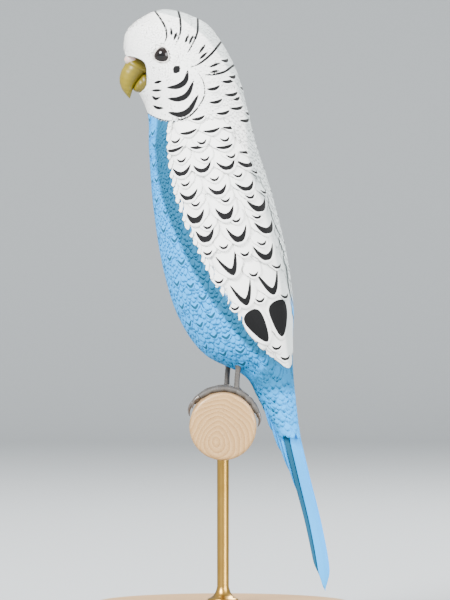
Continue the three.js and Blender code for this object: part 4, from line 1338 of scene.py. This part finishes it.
def brushed_brass():
    """Brass rod, brushed round and lacquered: warm metal with fine turning lines, drawn 0.4 mm
    apart so that they show."""
    material, tree, shader = start_material("brushed_brass", metallic=1, roughness=0.28)
    place = add(tree, place_node, {}, {}, "Object")
    drawn = add(tree, "ShaderNodeMapping", {}, {"Vector": place, "Scale": (0.05, 0.05, 1)})
    lines = add(tree, noise, {}, {"Vector": drawn, "Scale": 1 / (0.4 * MM), "Detail": 3})
    cloud = add(tree, noise, {}, {"Vector": place, "Scale": 1 / (7 * MM), "Detail": 3})
    colour = add(tree, blend, of_colours, {0: cloud, 6: linear("94702F"), 7: linear("B18D48")}, blended)
    bump = add(tree, "ShaderNodeBump", {}, {"Height": lines, "Strength": 0.4, "Distance": 0.03 * MM})
    tree.links.new(colour, shader.inputs["Base Color"])
    tree.links.new(bump, shader.inputs["Normal"])
    return material


def paper_roll():
    """Matt backdrop paper, pale grey, with soft fibres."""
    material, tree, shader = start_material("paper_roll", roughness=0.9)
    place = add(tree, place_node, {}, {}, "Object")
    fibres = add(tree, noise, {}, {"Vector": place, "Scale": 1 / (1.5 * MM), "Detail": 3})
    colour = add(tree, blend, of_colours, {0: fibres, 6: linear("989C9E"), 7: linear("9EA2A4")}, blended)
    tree.links.new(colour, shader.inputs["Base Color"])
    return material


# Bill
upper_bill_ribs = [
    (-32, 189.6, -24.4, 184.2, 4),
    (-32.6, 187.4, -25.9, 184.1, 4.2),
    (-33.9, 185, -27.4, 182.6, 4),
    (-34.5, 182, -28.7, 181, 3.4),
    (-33.8, 179.2, -29.9, 179.2, 2.5),
    (-32.4, 177.2, -30.5, 177.4, 1.5),
    (-31.1, 175.8, -31, 175.9, 0.2),
]
lower_bill_ribs = [
    (-26.2, 184.2, -24.3, 178.8, 3.2),
    (-28, 182.8, -25.8, 178.3, 3.1),
    (-29.2, 181, -27.8, 177.9, 2.5),
    (-29.8, 179.6, -29.1, 178.1, 1.5),
    (-29.9, 178.8, -29.6, 178.5, 0.3),
]
bill_horn = bill_keratin()


def bill_half(name, pole, ribs, node):
    """Upper or lower bill, with shallow growth ridges across it."""
    def ridges(s, angle):
        return 0.025 * np.sin(s * 9 + np.sin(angle * 3)) * np.minimum(s, 1)
    piece, points, s, angle = closed_shell(name, Form(pole, ribs), 0, len(ribs), 90, 64, ridges)
    keep_map(piece, np.stack([np.mod(angle / (2 * math.pi), 1), s / len(ribs)], -1))
    return finish_piece(piece, bill_horn, "bill_horn", node)


bill_half("bill_upper_horn", (-24.5, 189), upper_bill_ribs, "bill_upper")
bill_half("bill_lower_horn", (-23.2, 182), lower_bill_ribs, "bill_lower")


# Pieces modelled by hand: each primitive is selected alone, in object mode
def only(piece):
    bpy.ops.object.select_all(action="DESELECT")
    piece.select_set(True)
    bpy.context.view_layer.objects.active = piece


def newest(name):
    piece = bpy.context.object
    piece.name = name
    piece.data.name = name
    return piece


def apply_place(piece):
    only(piece)
    bpy.ops.object.transform_apply(location=True, rotation=True, scale=True)


def apply_modifier(piece, kind, **settings):
    only(piece)
    modifier = piece.modifiers.new(kind.lower(), kind)
    for name, value in settings.items():
        setattr(modifier, name, value)
    bpy.ops.object.modifier_apply(modifier=modifier.name)


def smooth_faces(piece, degrees=180):
    only(piece)
    if degrees == 180:
        bpy.ops.object.shade_smooth()
    else:
        bpy.ops.object.shade_smooth_by_angle(angle=math.radians(degrees))
    for face in piece.data.polygons:
        if len(face.vertices) > 8:
            face.use_smooth = False


def ball(name, centre, radii, around=48, rings=32):
    """A ball or egg shape in millimetres."""
    bpy.ops.object.select_all(action="DESELECT")
    bpy.ops.mesh.primitive_uv_sphere_add(segments=around, ring_count=rings, radius=MM,
                                         location=Vector(centre) * MM)
    piece = newest(name)
    piece.scale = radii
    apply_place(piece)
    return piece


def join(name, pieces):
    bpy.ops.object.select_all(action="DESELECT")
    for piece in pieces:
        piece.select_set(True)
    bpy.context.view_layer.objects.active = pieces[0]
    bpy.ops.object.join()
    return newest(name)


cere_centre = (-30.8, 1.7, 188.8)
cere_radii = (2.05, 2.2, 1.8)
nostril_radii = (0.9, 0.5, 0.5)
nostril_shift = (-1.9, 0.15, 0.75)
voxel = 0.16

# Eyelids: reach from the eye's middle, thickness over reach, how far they stand out for that
# thickness, and where the drawn eye has its first corner
lid_reach = 2.55
lid_thickness = 0.09
lid_rise = 2.9
lid_corner = 100
corner_share = 0.1


def cere():
    """Two waxy bulbs over the bill, melted together, each with its nostril."""
    bulbs = [ball(f"cere_bulb_{sign}", [cere_centre[0], sign * cere_centre[1], cere_centre[2]], cere_radii)
             for sign in (-1, 1)]
    piece = join("cere_wax", bulbs)
    apply_modifier(piece, "REMESH", mode="VOXEL", voxel_size=voxel * MM)
    holes = []
    for sign in (-1, 1):
        place = (np.array(cere_centre) + nostril_shift) * [1, sign, 1]
        holes.append(ball(f"nostril_{sign}", place, nostril_radii, 24, 16))
    hole = join("nostrils", holes)
    apply_modifier(piece, "BOOLEAN", operation="DIFFERENCE", solver="EXACT", object=hole)
    bpy.data.objects.remove(hole, do_unlink=True)
    apply_modifier(piece, "SMOOTH", factor=0.5, iterations=3)
    smooth_faces(piece)
    return finish_piece(piece, cere_wax(), "cere_skin", "cere")


def eye_frame(sign):
    """Middle of an eye, and the directions back along the head, up it and out of it."""
    out = eye_out * [1, -sign, 1]
    across = unit(np.cross([0, 0, 1], out)) * sign
    return eye_centre * [1, -sign, 1], across, np.cross(out, across) * sign, out


def eye(side, sign, wet, skin_rim):
    """A glossy eye, and the bare rim of its lids, drawn to a rounded triangle."""
    centre, across, up, out = eye_frame(sign)
    piece = ball(f"eye_{side}_wet", centre, [eye_radius] * 3, 64, 40)
    smooth_faces(piece)
    finish_piece(piece, wet, "eye_dark", f"eye_{side}")
    bpy.ops.object.select_all(action="DESELECT")
    bpy.ops.mesh.primitive_torus_add(major_radius=1, minor_radius=lid_thickness,
                                     major_segments=72, minor_segments=18)
    rim = newest(f"eyelids_{side}")
    corner = math.radians(lid_corner)
    for vertex in rim.data.vertices:
        x, y, z = vertex.co
        turn = math.atan2(y, x)
        grow = lid_reach * (1 + corner_share * math.cos(3 * (turn - corner)))
        place = centre + (across * x + up * y) * grow + out * (z * lid_rise + eye_sink - 0.2)
        vertex.co = Vector(place * MM)
    only(rim)
    bpy.ops.object.mode_set(mode="EDIT")
    bpy.ops.mesh.select_all(action="SELECT")
    bpy.ops.mesh.normals_make_consistent(inside=False)
    bpy.ops.object.mode_set(mode="OBJECT")
    smooth_faces(rim)
    finish_piece(rim, skin_rim, "eye_dark")


cere()
wet, rim_skin = wet_eye(), lid_skin()
eye("left", 1, wet, rim_skin)
eye("right", -1, wet, rim_skin)


# Legs and feet: each toe follows the perch from its ankle
toe_track = 12.1
toe_thick = 0.92
toe_bend = 12.4
toe_gap = 1.15
toe_splay = 1.5
claw_length = 4.9
claw_root = 0.2
claw_radius = 0.72
claw_point = 0.07
palm_radii = (1.7, 2.1, 1.25)
leg_radius = 0.86
leg_length = 10.3
leg_lean = 0.8

# Each foot's side, and its ankle's place in degrees from the perch's top. Each toe's way round the
# perch, forward or back, whether it is the outer or the inner one, and its length
ankles = {"left": (-1, 22), "right": (1, 6)}
toes = [(-1, 1, 13.4), (-1, -1, 10.2), (1, 1, 10.6), (1, -1, 7.6)]


def on_perch(degrees, track, y):
    turn = math.radians(degrees)
    return [track * math.sin(turn), y, perch_height + track * math.cos(turn)]


def scutes(spacing, pads):
    """Overlapping scales on top, spaced along it, and a number of soft pads below."""
    def height(share, turn):
        step = np.mod(share / spacing, 1)
        top = np.maximum(np.cos(turn), 0) ** 0.7 * (0.1 * step - 0.04)
        below = np.maximum(-np.cos(turn), 0) * 0.2 * np.abs(np.sin(share * math.pi * pads))
        return top + below
    return height


def on_toe(run, lift, side, ankle, way, out, length):
    """A point on a toe, or past it on its claw, after a run from the ankle."""
    y = side * (foot_spread + out * (toe_gap + toe_splay * math.sqrt(min(run / length, 1.4))))
    return on_perch(ankle + way * math.degrees(run / toe_bend), toe_track + lift, y)


def toe(name, *shape):
    """A toe with its joints, scales and pads."""
    length = shape[-1]
    steps = np.linspace(0, length, 110)
    line = [on_toe(run, 0, *shape) for run in steps]
    swell = smooth_line([[k] for k in (1, 1.02, 0.86, 1, 0.82, 0.94, 0.8)], steps / length)[:, 0]
    return tube(name, line, toe_radius * toe_thick * swell, 24, scutes(0.95 / length, 3))


def claw(name, *shape):
    """A curved horn claw that grows out of the toe's end and bends down to the perch."""
    t = np.linspace(0, 1, 40)
    start = shape[-1] - claw_root
    lifts = 0.1 + 0.35 * np.sin(math.pi * t) - 0.75 * t ** 2
    line = [on_toe(start + claw_length * share, lift, *shape) for share, lift in zip(t, lifts)]
    radii = claw_radius * (1 - t) ** 0.75 + claw_point
    return tube(name, line, radii, 20, lambda share, turn: 0 * turn)


def leg(name, side, ankle):
    x, y, z = on_perch(ankle, toe_track, side * foot_spread)
    t = np.linspace(0, 1, 90)
    line = np.stack([x + leg_lean * t * t, np.full(t.shape, y), z - 0.6 + leg_length * t], -1)
    swell = smooth_line([[k] for k in (1.25, 1.05, 1, 1.05, 1.45)], t)[:, 0]
    return tube(name, line, leg_radius * swell, 24, scutes(0.11, 0.01), faceward=(-1, 0, 0))


def foot(side_name, skin_material):
    side, ankle = ankles[side_name]
    pieces = [toe(f"toe_{side_name}_{k}", side, ankle, *toes[k]) for k in range(4)]
    palm = ball(f"palm_{side_name}", on_perch(ankle, toe_track + 0.2, side * foot_spread), palm_radii, 40, 28)
    smooth_faces(palm)
    piece = join(f"foot_{side_name}_skin", [palm] + pieces)
    finish_piece(piece, skin_material, "foot_skin", f"foot_{side_name}")
    finish_piece(leg(f"leg_{side_name}_skin", side, ankle), skin_material, "foot_skin", f"leg_{side_name}")


foot_scales = scaly_skin()
foot("left", foot_scales)
foot("right", foot_scales)
claws = claw_keratin()
toe_names = ["front_outer", "front_inner", "back_outer", "back_inner"]
for side_name, (side, ankle) in ankles.items():
    for toe_name, shape in zip(toe_names, toes):
        label = f"claw_{side_name}_{toe_name}"
        finish_piece(claw(f"{label}_horn", side, ankle, *shape), claws, "claw_horn", label)


# Stand
def edit(piece):
    only(piece)
    bpy.ops.object.mode_set(mode="EDIT")


def pick_edges(piece, chosen):
    """Selects edges by the middle of each, in millimetres, and leaves edit mode open."""
    bpy.ops.object.mode_set(mode="OBJECT")
    mesh = piece.data
    for group in (mesh.vertices, mesh.edges, mesh.polygons):
        for item in group:
            item.select = False
    for edge in mesh.edges:
        ends = [mesh.vertices[k].co / MM for k in edge.vertices]
        edge.select = bool(chosen(ends[0]) and chosen(ends[1]))
    bpy.ops.object.mode_set(mode="EDIT")
    bpy.ops.mesh.select_mode(type="EDGE")


def stand_base(material):
    """A turned disc with a stepped, rounded top edge and a small foot chamfer."""
    bpy.ops.object.select_all(action="DESELECT")
    bpy.ops.mesh.primitive_cylinder_add(vertices=144, radius=base_radius * MM, depth=base_thickness * MM,
                                        location=(0, 0, base_thickness / 2 * MM))
    piece = newest("stand_base_turned")
    apply_place(piece)
    edit(piece)
    bpy.ops.mesh.select_mode(type="FACE")
    bpy.ops.object.mode_set(mode="OBJECT")
    for face in piece.data.polygons:
        face.select = face.normal.z > 0.9
    bpy.ops.object.mode_set(mode="EDIT")
    bpy.ops.mesh.inset(thickness=3.2 * MM, depth=0)
    pick_edges(piece, lambda p: p.z > base_thickness - 0.1 and math.hypot(p.x, p.y) > base_radius - 0.1)
    bpy.ops.transform.translate(value=(0, 0, -2.2 * MM))
    bpy.ops.mesh.bevel(offset=1.8 * MM, segments=8, profile=0.6)
    pick_edges(piece, lambda p: p.z > base_thickness - 0.05)
    bpy.ops.mesh.bevel(offset=0.7 * MM, segments=5, profile=0.5)
    pick_edges(piece, lambda p: p.z < 0.1)
    bpy.ops.mesh.bevel(offset=0.8 * MM, segments=3, profile=0.5)
    bpy.ops.object.mode_set(mode="OBJECT")
    smooth_faces(piece, 40)
    return finish_piece(piece, material, "stand_wood", "stand_base")


def stand_rod(material):
    """A rod drawn up out of a turned flange, from an outline of radii and heights."""
    foot_height = base_thickness + gap
    top = perch_height - perch_radius + 0.8 - foot_height
    outline = [(5.2, 0), (5.2, 0.7), (4.9, 1), (4.1, 1.3), (3.2, 2), (2.5, 3.1), (2.1, 4.4), (rod_radius, 5),
               (rod_radius, top)]
    bpy.ops.object.select_all(action="DESELECT")
    bpy.ops.mesh.primitive_circle_add(vertices=64, radius=outline[0][0] * MM, fill_type="NGON",
                                      location=(0, 0, foot_height * MM))
    piece = newest("stand_rod_turned")
    apply_place(piece)
    edit(piece)
    bpy.ops.mesh.select_all(action="SELECT")
    for (radius, height), (wider, higher) in zip(outline, outline[1:]):
        bpy.ops.mesh.extrude_region_move(
            TRANSFORM_OT_translate={"value": (0, 0, (higher - height) * MM)})
        bpy.ops.transform.resize(value=(wider / radius, wider / radius, 1))
    bpy.ops.mesh.select_all(action="SELECT")
    bpy.ops.mesh.normals_make_consistent(inside=False)
    bpy.ops.object.mode_set(mode="OBJECT")
    smooth_faces(piece, 50)
    return finish_piece(piece, material, "stand_metal", "stand_rod")


def stand_perch(material):
    """A turned perch with rounded ends."""
    bpy.ops.object.select_all(action="DESELECT")
    bpy.ops.mesh.primitive_cylinder_add(vertices=112, radius=perch_radius * MM, depth=perch_length * MM,
                                        location=(0, 0, perch_height * MM), rotation=(math.pi / 2, 0, 0))
    piece = newest("stand_perch_turned")
    apply_place(piece)
    edit(piece)
    end = perch_length / 2
    pick_edges(piece, lambda p: abs(p.y) > end - 0.1)
    bpy.ops.mesh.bevel(offset=1.1 * MM, segments=7, profile=0.5)
    bpy.ops.object.mode_set(mode="OBJECT")
    smooth_faces(piece, 35)
    return finish_piece(piece, material, "stand_wood", "stand_perch")


stand_base(turned_beech("turned_beech_base", "X", (0, 0, -40)))
stand_rod(brushed_brass())
stand_perch(turned_beech("turned_beech_perch", "Y", (1.5, 0, perch_height - 2)))


# Floor, backdrop, lights and camera. The paper's bend, height and half width are millimetres too
floor_front = -2200
floor_back = 1800
paper_bend = 500
paper_height = 1800
paper_half = 2600


def backdrop():
    """A pale paper floor that runs up into a backdrop in one soft curve."""
    turn = np.linspace(0, math.pi / 2, 16)
    curve = np.stack([floor_back + paper_bend * np.sin(turn), paper_bend - paper_bend * np.cos(turn)], -1)
    line = np.vstack([[floor_front, 0], curve, [floor_back + paper_bend, paper_height + paper_bend]])
    left, right = (np.insert(line, 0, x, axis=1) for x in (-paper_half, paper_half))
    piece = piece_from("backdrop", np.vstack([left, right]), [grid_faces(2, len(line))[:, ::-1]])
    piece.data.materials.append(paper_roll())


def soft_light(name, place, aim, size, watts):
    lamp = bpy.data.lights.new(name, "AREA")
    lamp.shape = "DISK"
    lamp.size = size
    lamp.energy = watts
    light = bpy.data.objects.new(name, lamp)
    bpy.context.collection.objects.link(light)
    light.location = place
    light.rotation_euler = (Vector(aim) - Vector(place)).to_track_quat("-Z", "Y").to_euler()


backdrop()

# Lights: place and aim in metres, width in metres and power in watts
bird_middle = (0, 0, 0.12)
lights = {
    "key_light": ((-0.7, -0.9, 0.9), bird_middle, 0.6, 64),
    "fill_light": ((0.8, -0.8, 0.4), bird_middle, 0.8, 26),
    "back_light": ((0.5, 0.7, 0.9), bird_middle, 0.5, 23),
    "paper_light": ((0, 0.3, 1.6), (0, 1.2, 0.2), 0.9, 18),
}
for light_name, settings in lights.items():
    soft_light(light_name, *settings)

room_colour = "F2F4F6"
room_strength = 1.4
world = bpy.data.worlds.new("soft_room")
bpy.context.scene.world = world
world.use_nodes = True
world.node_tree.nodes["Background"].inputs["Color"].default_value = linear(room_colour)
world.node_tree.nodes["Background"].inputs["Strength"].default_value = room_strength

# The photograph is 450 by 600 pixels, with 3 pixels to a millimetre of the bird
image_height = 600
pixels_per_mm = 3
view_centre_x = 0.67
view_centre_z = 108.7
lens, sensor = 250, 36
frame_height = image_height / pixels_per_mm
distance = frame_height * lens / sensor
camera = bpy.data.objects.new("camera", bpy.data.cameras.new("camera"))
bpy.context.collection.objects.link(camera)
camera.data.lens = lens
camera.data.sensor_width = sensor
camera.data.clip_end = 20
camera.location = Vector((view_centre_x, -distance, view_centre_z)) * MM
camera.rotation_euler = (math.pi / 2, 0, 0)
bpy.context.scene.camera = camera
